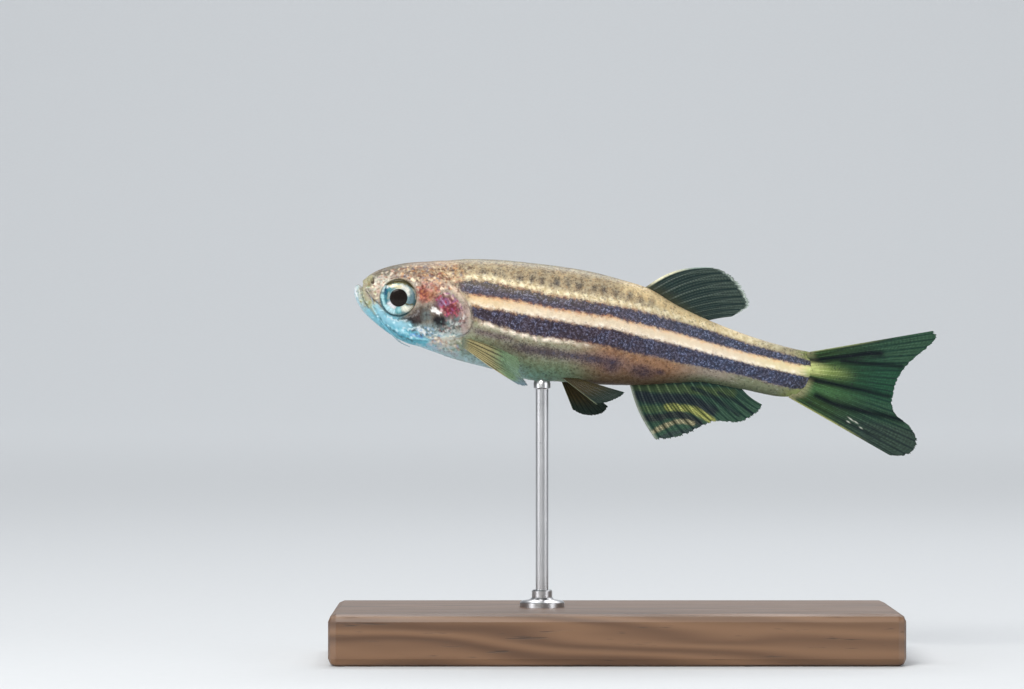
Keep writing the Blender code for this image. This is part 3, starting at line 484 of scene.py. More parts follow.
def paint_back(s, z, over):
    """The sandy back, a golden ridge lightened with painted light from above, a row of dark spots and the
    pale border over the upper stripe.
    """
    top, _, level, _ = section(s)
    up = (z - level) / (top - level)
    clump = clouds(s, z, 0.62, 2.5, 0.9)
    colour = mixed((0.50, 0.40, 0.25), (0.40, 0.36, 0.21), rise(s, 20.0, 30.0))
    colour = mixed(colour, (0.42, 0.38, 0.26), rise(up, 0.86, 1.0))
    colour = mixed(colour, (0.28, 0.26, 0.21), clump * 0.42)
    # Golden ridge before the dorsal fin: partly the back's own golden colour, partly painted light where
    # the ridge faces up, so it is lightened and loses some dark pigment.
    ridge = rise(up, 0.62, 0.82) * rise(s, 19.0, 22.0) * rise(s, 33.0, 29.0)
    colour = mixed(colour, (0.86, 0.66, 0.36), ridge * 0.72)
    dark = 0.30 + 0.12 * rise(up, 0.9, 1.0) + 0.12 * clump
    dark = dark - 0.18 * ridge
    silver = 0.15 + 0.17 * rise(s, 19.0, 27.0)

    wave = np.cos(math.tau * (s + 0.12 * np.sin(2.3 * s)) / SPOT_SPACING)
    spots = rise(wave, -0.3, 0.8) * rise(s, 8.0, 9.5) * rise(s, 26.0, 21.0) * (0.9 + 0.1 * np.sin(3.7 * s))
    spot_line = 0.62 + 0.36 * rise(s, 11.0, 15.5) + 0.14 * rise(s, 13.5, 15.0) * rise(s, 22.5, 20.5)
    dark = dark + 0.36 * spots * hump(over - spot_line, 0.30)
    spotted = np.minimum(spots * hump(over - spot_line, 0.36), 1.0)
    colour = mixed(colour, (0.14, 0.13, 0.12), spotted * 0.85)

    pale = hump(over - 0.36, 0.27) * rise(s, 7.2, 8.6) * rise(s, 35.5, 31.0)
    pale = pale * (1 - 0.35 * rise(s, 19.0, 26.0))
    fleece = clouds(s, z, 1.2, 5.5, 1.1)
    pale = pale * (0.75 + 0.25 * fleece)
    colour = mixed(colour, mixed((0.64, 0.50, 0.27), (1.0, 0.90, 0.64), fleece), pale)
    return colour, dark * (1 - 0.85 * pale), silver + 0.3 * pale


def paint_belly(s, z, lower_low, colour, dark, silver):
    """Below the lower stripe: grey-green and glassy in front, brown in the middle, sandy behind."""
    bottom = section(s)[1]
    below = rise(z, lower_low + 0.1, lower_low - 0.25)
    depth = np.clip((lower_low - z) / np.maximum(lower_low - bottom, 0.2), 0.0, 1.0)
    side = mixed((0.30, 0.31, 0.20), (0.15, 0.22, 0.13), rise(depth, 0.2, 0.8))
    brown = mixed((0.27, 0.15, 0.085), (0.11, 0.08, 0.05), rise(depth, 0.3, 0.9))
    rear = mixed((0.30, 0.26, 0.21), (0.19, 0.21, 0.13), rise(s, 29.0, 31.5))
    rear = mixed(rear, (0.13, 0.16, 0.10), rise(depth, 0.3, 0.9))
    side = mixed(side, brown, rise(s, 16.5, 20.5))
    side = mixed(side, rear, rise(s, 25.0, 28.5))
    glassy = mixed((0.44, 0.64, 0.68), (0.18, 0.36, 0.31), rise(s, 12.5, 15.0))
    wet = rise(depth, 0.62, 0.95) * rise(s, 19.0, 14.0) * (0.8 + 0.2 * ripple(s, z, 6.0))
    colour = mixed(colour, mixed(side, glassy, wet), below)
    shine = 0.15 + 0.2 * rise(s, 24.0, 30.0)
    return colour, toward(dark, 0.13, below), toward(silver, shine, below)


def paint_middle(s, z, ragged, upper_low, lower_top, colour, dark, silver):
    """The cream band between the two stripes."""
    middle = rise(z, lower_top - 0.05, lower_top + 0.12) * rise(z, upper_low + 0.05, upper_low - 0.12)
    middle = middle * rise(s, 8.2, 9.4)
    cloud = clouds(s, z, 0.9, 1.0, 0.8)
    between = mixed((0.74, 0.57, 0.35), (0.76, 0.63, 0.46), rise(s, 10.0, 15.0))
    between = mixed(between, (0.78, 0.67, 0.40), rise(s, 30.0, 34.0))
    between = mixed(between, (0.84, 0.50, 0.22), hump(ragged - upper_low + 0.10, 0.20) * cloud * 0.75)
    between = mixed(between, (1.0, 0.94, 0.82), hump(ragged - lower_top - 0.24, 0.13) * (1 - cloud) * 0.8)
    return mixed(colour, between, middle), dark * (1 - middle), silver + 0.25 * middle


def paint_marks(s, z, lower_low, colour, dark, silver):
    """The faint third stripe, the pale thread over it and the blotches before the anal fin."""
    sag = 0.05 * np.sin(s * 4.1) + 0.03 * np.sin(s * 9.7 + 1.0)
    thread = hump(z - (lower_low - 0.22 + sag), 0.15) * rise(s, 9.6, 10.8) * rise(s, 20.0, 16.5)
    broken = 0.35 + 0.65 * np.clip(0.6 + 1.6 * ripple(0.55 * s, 0.4 * z, 3.0), 0.0, 1.0)
    third = hump(z + 2.05 - 0.03 * (s - 16.0), 0.50) * rise(s, 10.5, 14.5) * rise(s, 23.0, 20.5)
    haze = hump(z + 1.45 + 0.06 * (s - 10.0), 0.30) * rise(s, 9.2, 10.2) * rise(s, 14.5, 12.0)
    colour = mixed(colour, (0.17, 0.12, 0.14), np.maximum(third, haze) * 0.80)
    dark = dark + 0.72 * third + 0.42 * haze
    thread = np.minimum(1.5 * thread, 1.0)
    colour = mixed(colour, (1.0, 0.86, 0.72), thread * broken)
    dark = dark * (1 - 0.95 * thread)
    silver = silver + 0.40 * thread * broken
    for at_s, at_z, long, deep in BLOTCHES:
        blotch = patch(s, z, (at_s, at_z), (long, deep), 0, 0.6)
        dark = np.maximum(dark, 0.72 * blotch)
        colour = mixed(colour, (0.11, 0.07, 0.08), blotch * 0.75)
    return colour, dark, silver


def paint_stripes(s, z, ragged, upper_stripe, lower_stripe, colour, dark, silver):
    """The two dark stripes with their rusty rims."""
    upper, upper_top, upper_low = upper_stripe
    lower, lower_top, lower_low = lower_stripe
    fade = rise(s, 18.0, 27.0)
    fringe = (1.3 * hump(ragged - upper_low + 0.03, 0.16) + 0.6 * hump(ragged - lower_top, 0.11)
              + 0.45 * hump(z - lower_low, 0.09) + 0.35 * hump(z - upper_top, 0.08))
    fringe = fringe * rise(s, 8.3, 9.6) * rise(s, 36.6, 34.5)
    rust = np.clip(fringe * (0.70 + 0.6 * ripple(0.8 * s, 0.8 * z, 2.0)), 0.0, 1.0)
    colour = mixed(colour, (0.58, 0.27, 0.11), rust * (0.75 - 0.45 * fade))

    ground = mixed((0.09, 0.06, 0.08), (0.10, 0.12, 0.20), rise(s, 18.0, 30.0))
    over_ground = mixed((0.20, 0.17, 0.21), (0.14, 0.16, 0.23), rise(s, 18.0, 28.0))
    golden = hump(ragged - upper_top + 0.20, 0.22) * rise(s, 21.0, 12.0)
    over_ground = mixed(over_ground, (0.44, 0.36, 0.20), golden * 0.7)
    ground = mixed(ground, over_ground, upper)
    edges = (4 * upper * (1 - upper) + 2.2 * lower * (1 - lower)) * rise(s, 8.6, 9.6)
    ground = mixed(ground, (0.34, 0.12, 0.08), np.clip(edges * (1 - 0.6 * fade), 0.0, 1.0))
    stripes = np.maximum(upper, lower)
    dark = np.maximum(dark * (1 - stripes), 0.90 * stripes)
    return mixed(colour, ground, stripes), dark, silver * (1 - 0.6 * stripes)


def paint_tail(s, z, stripes, colour, dark, silver):
    """Yellow-green streaks of the tail fin's root that run on to the stalk."""
    root, stalk = behind(s, z, TAIL_END), rise(s, 33.5, 34.5)
    tail, last = rise(root, -1.45, -0.20) * stalk, rise(root, -1.0, -0.15) * stalk
    streak = np.clip(0.5 + 0.9 * np.sin(z * 26.0 + 1.5 * np.sin(s * 5.0)), 0.0, 1.0)
    bright = mixed((0.20, 0.24, 0.09), (0.60, 0.64, 0.27), hump(z - 0.45, 0.45))
    colour = mixed(colour, bright, tail * (1 - stripes) * np.maximum(0.45 + 0.55 * streak, last))
    colour = mixed(colour, (0.025, 0.04, 0.03), tail * stripes * 0.7)
    return colour, dark * (1 - 0.6 * tail * (1 - stripes)), silver


def paint_head(s, z, colour, dark, silver):
    """The face, gill cover and chin, from soft patches, brush strokes (some of them painted highlights and
    painted shade) and flecks.
    """
    head = rise(behind(s, z, GILL_OPENING), 0.25, -0.05) * rise(z, 2.9, 1.6)
    head = np.maximum(head, rise(s, 8.2, 6.2))
    face = mixed((0.36, 0.32, 0.26), (0.30, 0.45, 0.48), rise(z, -1.2, -2.4))
    freckles = np.full(s.shape, 0.12)
    wander_s = s + ripple(s, z, 0.0) * 0.08 + ripple(2.7 * s, 2.7 * z, 1.0) * 0.06
    wander_z = z + ripple(s, z, 5.0) * 0.08 + ripple(2.7 * s, 2.7 * z, 3.0) * 0.06
    for centre, size, slant, edge, tint, strength, speckle in HEAD_PATCHES:
        share = patch(wander_s, wander_z, centre, size, slant, edge) * strength
        face = mixed(face, np.array(tint) * HEAD_SHADE, share)
        freckles = toward(freckles, speckle, share)
    colour = mixed(colour, face, head)
    dark = toward(dark, freckles, head)
    uneven = 0.85 + 0.15 * ripple(s, z, 9.0)
    for line, wide, edge, tint, strength in HEAD_STROKES:
        share = stroke(wander_s, wander_z, line, wide, edge) * strength
        colour = mixed(colour, np.array(tint) * STROKE_SHADE, share * uneven)
        dark = dark * (1 - share)
    top, bottom, level, _ = section(s)
    up, down = (z - level) / (top - level), (level - z) / (level - bottom)
    facing = rise(up, 0.96, 0.84) * rise(down, 0.96, 0.84)
    colour = mixed(colour, flecked(colour, s, z), facing)
    bright = rise(colour.mean(axis=-1), 0.12, 0.50)
    silver = toward(silver, (0.45 - 0.3 * rise(z, 1.2, 2.2)) * bright, head)
    for centre, size, slant in SILVER:
        silver = np.maximum(silver, 0.60 * patch(s, z, centre, size, slant, 0.5) * head * bright)
    return colour, dark, silver


def paint_lines(s, z, colour):
    """Painted shade in the mouth's groove, the nostril, the gill opening and the furrows of the head, and
    the rim round the eye.
    """
    # Painted shade: a dark line in the groove along the mouth.
    lips = hump(distance(s, z, MOUTH), 0.055) * rise(s, 1.7, 1.2)
    colour = mixed(colour, (0.16, 0.19, 0.14), lips * 0.8)
    gill = behind(s, z, GILL_OPENING)
    # Painted shade in the gill opening, along the front of the gill cover, in the cheek groove and in the
    # nostril.
    shade = hump(gill - 0.05, 0.07) * rise(z, 1.4, 0.4) * rise(z, -2.9, -1.6) * 0.30
    shade = np.maximum(shade, 0.16 * hump(distance(s, z, COVER_FRONT), 0.06))
    shade = np.maximum(shade, 0.90 * hump(distance(s, z, CHEEK_GROOVE), 0.055) * rise(s, 0.7, 1.0))
    hole = np.hypot((s - NOSTRIL[0]) / 0.13, (z - NOSTRIL[1]) / 0.24)
    shade = np.maximum(shade, 0.95 * rise(hole, 1.2, 0.8))
    colour = mixed(colour, (0.05, 0.035, 0.03), shade * 0.85)
    ring = hump(from_point(s, z, EYE_CENTRE) - 1.42, 0.05)
    lower_left = rise(z + 0.55 * (s - EYE_CENTRE[0]), 0.0, -0.9)
    colour = mixed(colour, (0.03, 0.10, 0.12), ring * 0.9 * lower_left)
    lid = rise(z - 0.10 * (s - EYE_CENTRE[0]), 0.7, 1.2)
    return mixed(colour, (0.16, 0.13, 0.06), ring * 0.85 * lid)


def paint(s, z):
    """Colour, share of dark pigment cells and silver of the skin at each place."""
    ragged = z + 0.07 * ripple(2.1 * s, 2.1 * z, 4.0)
    upper = banded(s, ragged, UPPER_STRIPE)
    lower = banded(s, ragged, LOWER_STRIPE)
    coat = paint_back(s, z, ragged - upper[1])
    coat = paint_belly(s, z, lower[2], *coat)
    coat = paint_middle(s, z, ragged, upper[2], lower[1], *coat)
    coat = paint_marks(s, z, lower[2], *coat)
    coat = paint_stripes(s, z, ragged, upper, lower, *coat)
    coat = paint_tail(s, z, np.maximum(upper[0], lower[0]), *coat)
    colour, dark, silver = paint_head(s, z, *coat)
    colour = paint_lines(s, z, colour)
    return np.clip(colour, 0.0, 1.0), np.clip(dark, 0.0, 1.0), np.clip(silver, 0.0, 1.0)


# Meshes

def add_piece(name, points, faces, material, replaced, values):
    """Makes a piece of the fish from places in fish millimetres and hangs it on the body."""
    flat = points.reshape(-1, 3)
    mesh = bpy.data.meshes.new(name)
    mesh.from_pydata(placed(flat).tolist(), [], faces.tolist() if hasattr(faces, "tolist") else faces)
    mesh.validate()
    mesh.shade_smooth()
    for word, data in {"fish": flat, **values}.items():
        kind = "FLOAT" if data.ndim == 1 else "FLOAT_VECTOR"
        layer = mesh.attributes.new(word, kind, "POINT")
        layer.data.foreach_set("value" if data.ndim == 1 else "vector", data.astype(np.float32).ravel())
    mesh.materials.append(material)
    piece = bpy.data.objects.new(name, mesh)
    bpy.context.scene.collection.objects.link(piece)
    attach(piece, BODY)
    if replaced:
        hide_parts(*replaced)
    return piece


def quads(rows, columns, closed=False, start=0):
    """Corners of the faces of a grid of rows x columns places."""
    i, j = np.meshgrid(np.arange(rows - 1), np.arange(columns if closed else columns - 1), indexing="ij")
    k = (j + 1) % columns
    corners = np.stack([i * columns + j, i * columns + k, (i + 1) * columns + k, (i + 1) * columns + j], -1)
    return corners.reshape(-1, 4) + start


def plate_faces(rows, columns):
    """Faces of a closed plate: a grid of places, a second one after it for the other side, and the rim."""
    total = rows * columns
    rim = list(range(columns)) + [i * columns + columns - 1 for i in range(1, rows)]
    rim += [total - 1 - i for i in range(1, columns)]
    rim += [(rows - 1 - i) * columns for i in range(1, rows - 1)]
    sides = np.array([(b, a, a + total, b + total) for a, b in zip(rim, rim[1:] + rim[:1])])
    face = quads(rows, columns)
    return np.vstack([face, face[:, ::-1] + total, sides])


def tube_faces(rows, sides):
    """Faces of a tube of rings, closed at each end by one place that follows the rings."""
    count, last = rows * sides, (rows - 1) * sides
    faces = quads(rows, sides, True).tolist()
    for j in range(sides):
        k = (j + 1) % sides
        faces.append([count, k, j])
        faces.append([count + 1, last + j, last + k])
    return faces


def capped(data):
    """Values of a tube of rings, with those of its two end places after them."""
    return np.concatenate([data.reshape((-1,) + data.shape[2:]), data[:1, 0], data[-1:, 0]])


SKIN_SIDES = 240
SKIN_NODES = ("head", "lower_jaw", "gill_cover_left", "gill_cover_right", "trunk", "tail_stalk")


def add_skin(material):
    """One closed skin from the lips to the root of the tail fin."""
    stations = np.concatenate([(np.arange(1, 31) / 30) ** 1.9, np.arange(1.05, 10.4, 0.05),
                               np.arange(10.5, 33.0, 0.25), np.linspace(33.0, BODY_END, 26)])
    turns = np.arange(SKIN_SIDES) / SKIN_SIDES
    plain = surface(stations[:, None], turns[None, :])
    outward = -grid_normals(plain, True)
    s, z = plain[..., 0], plain[..., 2]
    points = plain + outward * (relief(s, z) * rise(s, 14.0, 12.0))[..., None]
    colour, dark, silver = paint(s, z)
    snout, tail = np.array([[0.0, 0.0, 0.0]]), points[-1].mean(axis=0, keepdims=True)
    everywhere = np.vstack([points.reshape(-1, 3), snout, tail])
    faces = tube_faces(len(stations), SKIN_SIDES)
    values = {"tone": capped(colour), "dark": capped(dark), "silver": capped(silver)}
    add_piece("fish_skin", everywhere, faces, material, SKIN_NODES, values)


# Scales

SCALE_ROWS, SCALE_FRONT, SCALE_BACK = 9, 8.7, 35.3
SCALE_LENGTHS = ((8.0, 1.05), (22.0, 1.0), (36.6, 0.72))
SCALE_GRID, SCALE_REACH, SCALE_WIDTH, SCALE_BOW = 9, 1.72, 0.92, 0.10
SCALE_LIFT, SCALE_SUNK, SCALE_THICKNESS, SCALE_DOME = 0.020, 0.03, 0.012, 0.008


def girth_table():
    """Turns at equal steps of length round the left side, from the back to the belly."""
    stations = np.arange(6.0, 36.61, 0.3)
    turns = np.linspace(0.25, 0.75, 241)
    ring = surface(stations[:, None], turns[None, :])
    steps = np.linalg.norm(np.diff(ring, axis=1), axis=-1)
    length = np.concatenate([np.zeros((len(stations), 1)), np.cumsum(steps, axis=1)], axis=1)
    shares = np.linspace(0.0, 1.0, 65)
    table = np.array([np.interp(shares * row[-1], row, turns) for row in length])
    return stations, table


def on_side(s, share, tables):
    """Place on the plain body at s and at a signed share of the half girth, left side negative."""
    stations, table = tables
    share = np.where(share > 1, share - 2, np.where(share < -1, share + 2, share))
    row = np.interp(s, stations, np.arange(len(stations)))
    column = abs(share) * (table.shape[1] - 1)
    i = np.minimum(row.astype(int), len(stations) - 2)
    j = np.minimum(column.astype(int), table.shape[1] - 2)
    f, g = row - i, column - j
    turn = ((table[i, j] * (1 - g) + table[i, j + 1] * g) * (1 - f)
            + (table[i + 1, j] * (1 - g) + table[i + 1, j + 1] * g) * f)
    return surface(s, np.where(share < 0, turn, 0.5 - turn))


def scale_places():
    """Middle of every scale as (s, share), in staggered rows that close up towards the tail."""
    places = []
    s, column = SCALE_FRONT, 0
    while s < SCALE_BACK:
        for row in range(-SCALE_ROWS, SCALE_ROWS):
            share = (row + 0.5 * (column % 2)) / SCALE_ROWS
            places.append((s, share))
        s += 0.5 * np.interp(s, *np.array(SCALE_LENGTHS).T)
        column += 1
    return np.array(places)


def add_scales(material):
    """Thin domed plates over the skin, each sunk at its front edge and free at its rear edge."""
    tables = girth_table()
    dice = np.random.default_rng(7)
    places = scale_places()
    middle = on_side(places[:, 0], places[:, 1], tables)
    gill = behind(middle[:, 0], middle[:, 2], GILL_OPENING)
    places = places[np.where(middle[:, 2] > 1.8, gill > -0.7, gill > 0.35)]
    count, n = len(places), SCALE_GRID
    long = np.interp(places[:, 0], *np.array(SCALE_LENGTHS).T)
    t, c = np.meshgrid(np.linspace(0.0, 1.0, n), np.linspace(-1.0, 1.0, n), indexing="ij")
    width = np.maximum((1 - abs(2 * t - 0.92) ** 2.8 / 1.35) ** 0.5, 0.02)
    bow = SCALE_BOW * c * c
    s = places[:, 0, None, None] + long[:, None, None] * SCALE_REACH * (t - 0.5 - bow * t)
    share = places[:, 1, None, None] + SCALE_WIDTH / SCALE_ROWS * c * width
    plain = on_side(s, share, tables)

    step = 0.02
    ahead = on_side(s + step, share, tables) - on_side(s - step, share, tables)
    across = on_side(s, share + step, tables) - on_side(s, share - step, tables)
    normal = unit(np.cross(across, ahead))
    calm = (1 - 0.55 * rise(places[:, 0], 16.0, 25.0)) * (1 - 0.5 * hump(places[:, 1], 0.10))
    small = (long / 1.05 * calm)[:, None, None]
    lift = (-SCALE_SUNK + (SCALE_SUNK + SCALE_LIFT) * t ** 1.2 + SCALE_DOME * (1 - c * c) * t) * small
    lift = lift + dice.normal(0.0, 0.001, (count, 1, 1)) * t
    lift = lift + dice.normal(0.0, 0.003, (count, 1, 1)) * c * t
    top = plain + normal * lift[..., None]
    low = top - normal * (SCALE_THICKNESS * (0.35 + 0.65 * (1 - t)) * small)[..., None]
    points = np.stack([top, low], 1).reshape(count, 2 * n * n, 3)
    faces = plate_faces(n, n)[None] + (np.arange(count) * 2 * n * n)[:, None, None]

    colour, dark, silver = paint(plain[..., 0], plain[..., 2])
    edge = rise(t, 0.80, 0.97) * (plain[..., 2] > 0.3)
    dark = np.clip(dark + 0.05 * edge * (dark > 0.2), 0.0, 1.0)
    tint = 1 + dice.normal(0.0, 0.025, (count, 1, 1))
    colour = np.clip(colour * tint[..., None], 0.0, 1.0)
    silver = np.clip(silver * (1 + dice.normal(0.0, 0.10, (count, 1, 1))), 0.0, 1.0)
    values = {word: np.stack([data, data], 1).reshape(-1, *data.shape[3:])
              for word, data in (("tone", colour), ("dark", dark), ("silver", silver))}
    piece = add_piece("fish_scales", points, faces.reshape(-1, 4), material, (), values)
    piece.data.set_sharp_from_angle(angle=math.radians(50))
    spread_scales(piece.data, places, long, t, c, width)


def spread_scales(mesh, places, long, t, c, width):
    """Gives each scale a field of its own in the UV map, both of its faces on the same one."""
    cell = np.stack([(places[:, 0] - 8.0) / 29.0, (places[:, 1] + 1.0) / 2.0], -1)
    size = 0.42 * np.stack([long / 29.0, np.full(len(places), 1.0 / SCALE_ROWS)], -1)
    u = cell[:, 0, None, None] + size[:, 0, None, None] * (2 * t - 1)
    v = cell[:, 1, None, None] + size[:, 1, None, None] * c * width
    flat = np.stack([u * 0.96 + 0.02, v * 0.96 + 0.02], -1)
    flat = np.stack([flat, flat], 1).reshape(-1, 2)
    layer = mesh.uv_layers.new(name="OFBake")
    corner = np.empty(len(mesh.loops), np.int32)
    mesh.loops.foreach_get("vertex_index", corner)
    layer.data.foreach_set("uv", flat[corner].astype(np.float32).ravel())


# Eyes and feelers

SIDES = ((-1, "left"), (1, "right"))
EYE_RINGS, EYE_AROUND = 72, 144
IRIS_SHADE = 0.88

# Marks of the iris from the middle of the eye: points, half width, edge, colour, strength
IRIS_STROKES = (
    (((1.06, 0.34), (1.10, -0.05), (1.02, -0.30)), 0.30, 0.4, (0.16, 0.26, 0.31), 0.97),
    (((1.18, 0.55), (1.27, 0.1), (1.22, -0.35)), 0.07, 0.8, (0.10, 0.22, 0.26), 0.8),
    (((-0.95, 0.45), (-1.02, 0.0), (-0.90, -0.40)), 0.30, 0.5, (0.07, 0.25, 0.31), 0.95),
    (((-1.14, 0.48), (-1.02, 0.10)), 0.10, 0.7, (0.01, 0.07, 0.15), 0.95),
    (((-1.22, 0.68), (-1.31, 0.28)), 0.07, 0.7, (0.70, 0.90, 0.92), 0.9),
    (((-1.31, -0.08), (-1.17, -0.52), (-0.84, -0.96)), 0.14, 0.6, (0.50, 0.86, 0.92), 0.95),
    (((-0.96, 0.5), (-0.90, 0.0), (-0.86, -0.48), (-0.62, -0.84)), 0.06, 0.8, (0.02, 0.17, 0.22), 0.9),
    (((-0.80, 0.22), (-0.79, -0.2)), 0.09, 0.7, (0.40, 0.46, 0.42), 0.9),
    (((-0.62, -0.55), (-0.42, -0.72), (-0.25, -0.80)), 0.16, 0.85, (0.95, 0.92, 0.97), 0.95),
    (((-0.72, -0.90), (-0.46, -1.07), (-0.16, -1.14)), 0.19, 0.6, (0.60, 0.92, 1.0), 0.95),
    (((0.18, -0.96), (0.20, -0.96)), 0.27, 0.3, (0.16, 0.48, 0.54), 0.95),
    (((0.18, -0.94), (0.20, -0.94)), 0.15, 0.6, (0.44, 0.78, 0.82), 0.9),
    (((0.56, -0.72), (0.85, -0.76), (1.12, -0.62)), 0.22, 0.65, (1.0, 1.0, 0.86), 1.0),
    (((0.66, -0.36), (0.90, -0.38), (1.18, -0.32)), 0.06, 0.8, (0.12, 0.10, 0.03), 0.95),
    (((0.10, 0.90), (0.45, 0.80), (0.72, 0.48)), 0.18, 0.8, (1.0, 0.98, 0.90), 1.0),
    (((-0.92, 0.84), (-0.50, 0.84), (-0.02, 0.84)), 0.13, 0.85, (0.95, 0.86, 0.58), 0.95),
    # Painted highlight: a white glint on the eye.
    (((-0.98, 0.70), (-1.0, 0.62)), 0.09, 0.7, (0.95, 1.0, 1.0), 0.95),
    (((0.80, 0.62), (0.92, 0.30)), 0.06, 0.8, (0.10, 0.24, 0.26), 0.7),
    # Painted highlight along the eye's outer rim.
    (((0.92, 0.98), (1.22, 0.62), (1.36, 0.18)), 0.08, 0.7, (0.92, 0.92, 0.78), 0.9),
    (((-1.06, 0.95), (-0.60, 1.21), (0.0, 1.33), (0.55, 1.24), (0.95, 1.06)), 0.17, 0.5,
     (0.085, 0.068, 0.026), 0.97),
    (((-0.50, 1.10), (0.0, 1.16), (0.35, 1.12)), 0.05, 0.8, (0.34, 0.30, 0.12), 0.7),
    (((-1.38, -0.30), (-1.05, -0.92), (-0.45, -1.33), (0.25, -1.39), (0.85, -1.12)), 0.05, 0.8,
     (0.02, 0.12, 0.16), 0.9),
)


def iris_colours(s, z):
    """Colours of the iris at places from the middle of the eye."""
    colour = (0.22, 0.34, 0.36)
    wander_s = s + 0.035 * ripple(1.5 * s, 1.5 * z, 2.0)
    wander_z = z + 0.035 * ripple(1.5 * s, 1.5 * z, 6.0)
    for line, wide, edge, tint, strength in IRIS_STROKES:
        share = stroke(wander_s, wander_z, line, wide, edge) * strength
        colour = mixed(colour, np.array(tint) * IRIS_SHADE, share)
    return colour


def add_eyes(material):
    """Flattened balls with a pupil that stands out of the iris."""
    polar = math.pi * (np.arange(1, EYE_RINGS) / EYE_RINGS) ** 1.25
    angle = math.tau * np.arange(EYE_AROUND) / EYE_AROUND
    away = EYE_RADIUS * np.sin(polar)[:, None] + 0 * angle
    front = (polar < math.pi / 2)[:, None]
    proud = 0.075 * np.sqrt(np.clip(1 - (away / PUPIL_RADIUS) ** 2, 0, 1))
    gutter = -0.02 * hump(away - PUPIL_RADIUS - 0.05, 0.05)
    dome = np.sign(np.cos(polar)) * (1 - np.sin(polar) ** EYE_FLATNESS) ** (1 / 3)
    bulge = EYE_HALF_DEPTH * dome[:, None] + (proud + gutter) * front
    s = EYE_CENTRE[0] + away * np.cos(angle)
    z = EYE_CENTRE[1] + away * np.sin(angle)
    colour = iris_colours(s - EYE_CENTRE[0], z - EYE_CENTRE[1])
    pupil = rise(away, PUPIL_RADIUS + 0.02, PUPIL_RADIUS - 0.02) * front
    colour = np.where(front[..., None], mixed(colour, (0.012, 0.009, 0.008), pupil), 0.1)
    iris = rise(away, 0.70, 0.76) * front
    values = {"tone": capped(colour), "iris": capped(iris),
              "angle": capped(np.broadcast_to(angle, away.shape))}
    faces = tube_faces(EYE_RINGS - 1, EYE_AROUND)
    for side, word in SIDES:
        points = np.stack([s, side * (EYE_LEVEL + bulge), z], -1)
        poles = points[[0, -1]].mean(axis=1)
        outward = faces if side > 0 else [face[::-1] for face in faces]
        add_piece(f"eyeball_{word}", np.vstack([points.reshape(-1, 3), poles]), outward, material,
                  (f"eye_{word}",), values)


BARBEL_RINGS, BARBEL_SIDES = 70, 14

# Feelers from the lips: (s, z, distance from the skin), then (s, z, y) where they hang free
ROSTRAL_PATH = ((0.95, 0.22, -0.05), (1.15, 0.0, 0.34), (1.45, -0.4, 0.40), (1.8, -0.95, 0.30))
MAXILLARY_PATH = ((1.62, -1.02, -0.05), (2.0, -1.5, 0.38), (2.5, -2.02, 0.56), (3.0, -2.5, 0.76))
MAXILLARY_HANG = ((3.6, -2.98, 1.20), (4.3, -3.42, 1.08), (5.05, -3.62, 0.98))
BARBELS = (("rostral", ROSTRAL_PATH, ()), ("maxillary", MAXILLARY_PATH, MAXILLARY_HANG))


def add_barbels(material):
    """Four tapering feelers, each closed by its first and last ring."""
    t = np.linspace(0.0, 1.0, BARBEL_RINGS)
    angle = math.tau * np.arange(BARBEL_SIDES) / BARBEL_SIDES
    radius = (0.075 - 0.04 * t) * (1 + 0.05 * np.sin(t * 90)) * np.sqrt(np.clip(1.03 - t ** 12, 0, 1))
    last = (BARBEL_RINGS - 1) * BARBEL_SIDES
    ends = [list(range(BARBEL_SIDES))[::-1], list(range(last, last + BARBEL_SIDES))]
    faces = quads(BARBEL_RINGS, BARBEL_SIDES, True).tolist() + ends
    for side, word in SIDES:
        for kind, path, hang in BARBELS:
            path = np.array(path)
            y = side * (flank(path[:, 0], path[:, 1]) + path[:, 2])
            line = [(s, across, z) for (s, z, _), across in zip(path, y)]
            line += [(s, side * across, z) for s, z, across in hang]
            centre = along(line, t)
            run = unit(np.gradient(centre, axis=0))
            square = unit(np.cross(run, (0.0, 1.0, 0.2)))
            third = np.cross(run, square)
            ring = square[:, None] * np.cos(angle)[:, None] + third[:, None] * np.sin(angle)[:, None]
            points = centre[:, None] + ring * radius[:, None, None]
            under = paint(points[..., 0].reshape(-1), points[..., 2].reshape(-1))[0]
            free = rise(np.repeat(t, BARBEL_SIDES), 0.55, 0.75)
            add_piece(f"barbel_{kind}_{word}_skin", points, faces, material,
                      (f"barbel_{kind}_{word}",), {"tone": mixed(under, (0.30, 0.38, 0.42), free)})


# Fins

FIN_SUNK = 0.25
DORSAL_ROOT = (22.1, 27.3)
DORSAL_MARGIN = ((27.1, 6.8), (28.1, 6.72), (29.1, 6.27), (29.85, 5.65), (30.35, 5.02), (30.62, 4.42),
                 (30.1, 3.85), (29.4, 3.30))
ANAL_ROOT = (22.4, 30.9)
ANAL_MARGIN = ((25.3, -7.3), (26.6, -6.95), (27.8, -6.3), (28.7, -5.6), (29.6, -5.05), (30.6, -4.9),
               (31.6, -4.72), (32.4, -4.1), (32.9, -3.5), (33.0, -3.05))
CAUDAL_TOP, CAUDAL_BOTTOM, CAUDAL_SPLIT = 1.62, -2.12, -0.3
CAUDAL_UPPER_MARGIN = ((45.1, 5.08), (45.5, 4.65), (45.0, 3.8), (44.2, 2.85), (43.55, 1.95),
                       (43.15, 1.05), (42.98, 0.3), (42.95, -0.28))
CAUDAL_LOWER_MARGIN = ((42.95, -0.58), (43.0, -1.2), (43.5, -1.95), (44.6, -2.55), (45.3, -3.3),
                       (45.45, -3.95), (45.2, -4.6), (44.5, -5.0), (43.6, -5.15))
PECTORAL_ROOT = ((9.15, -2.12), (9.2, -2.78))
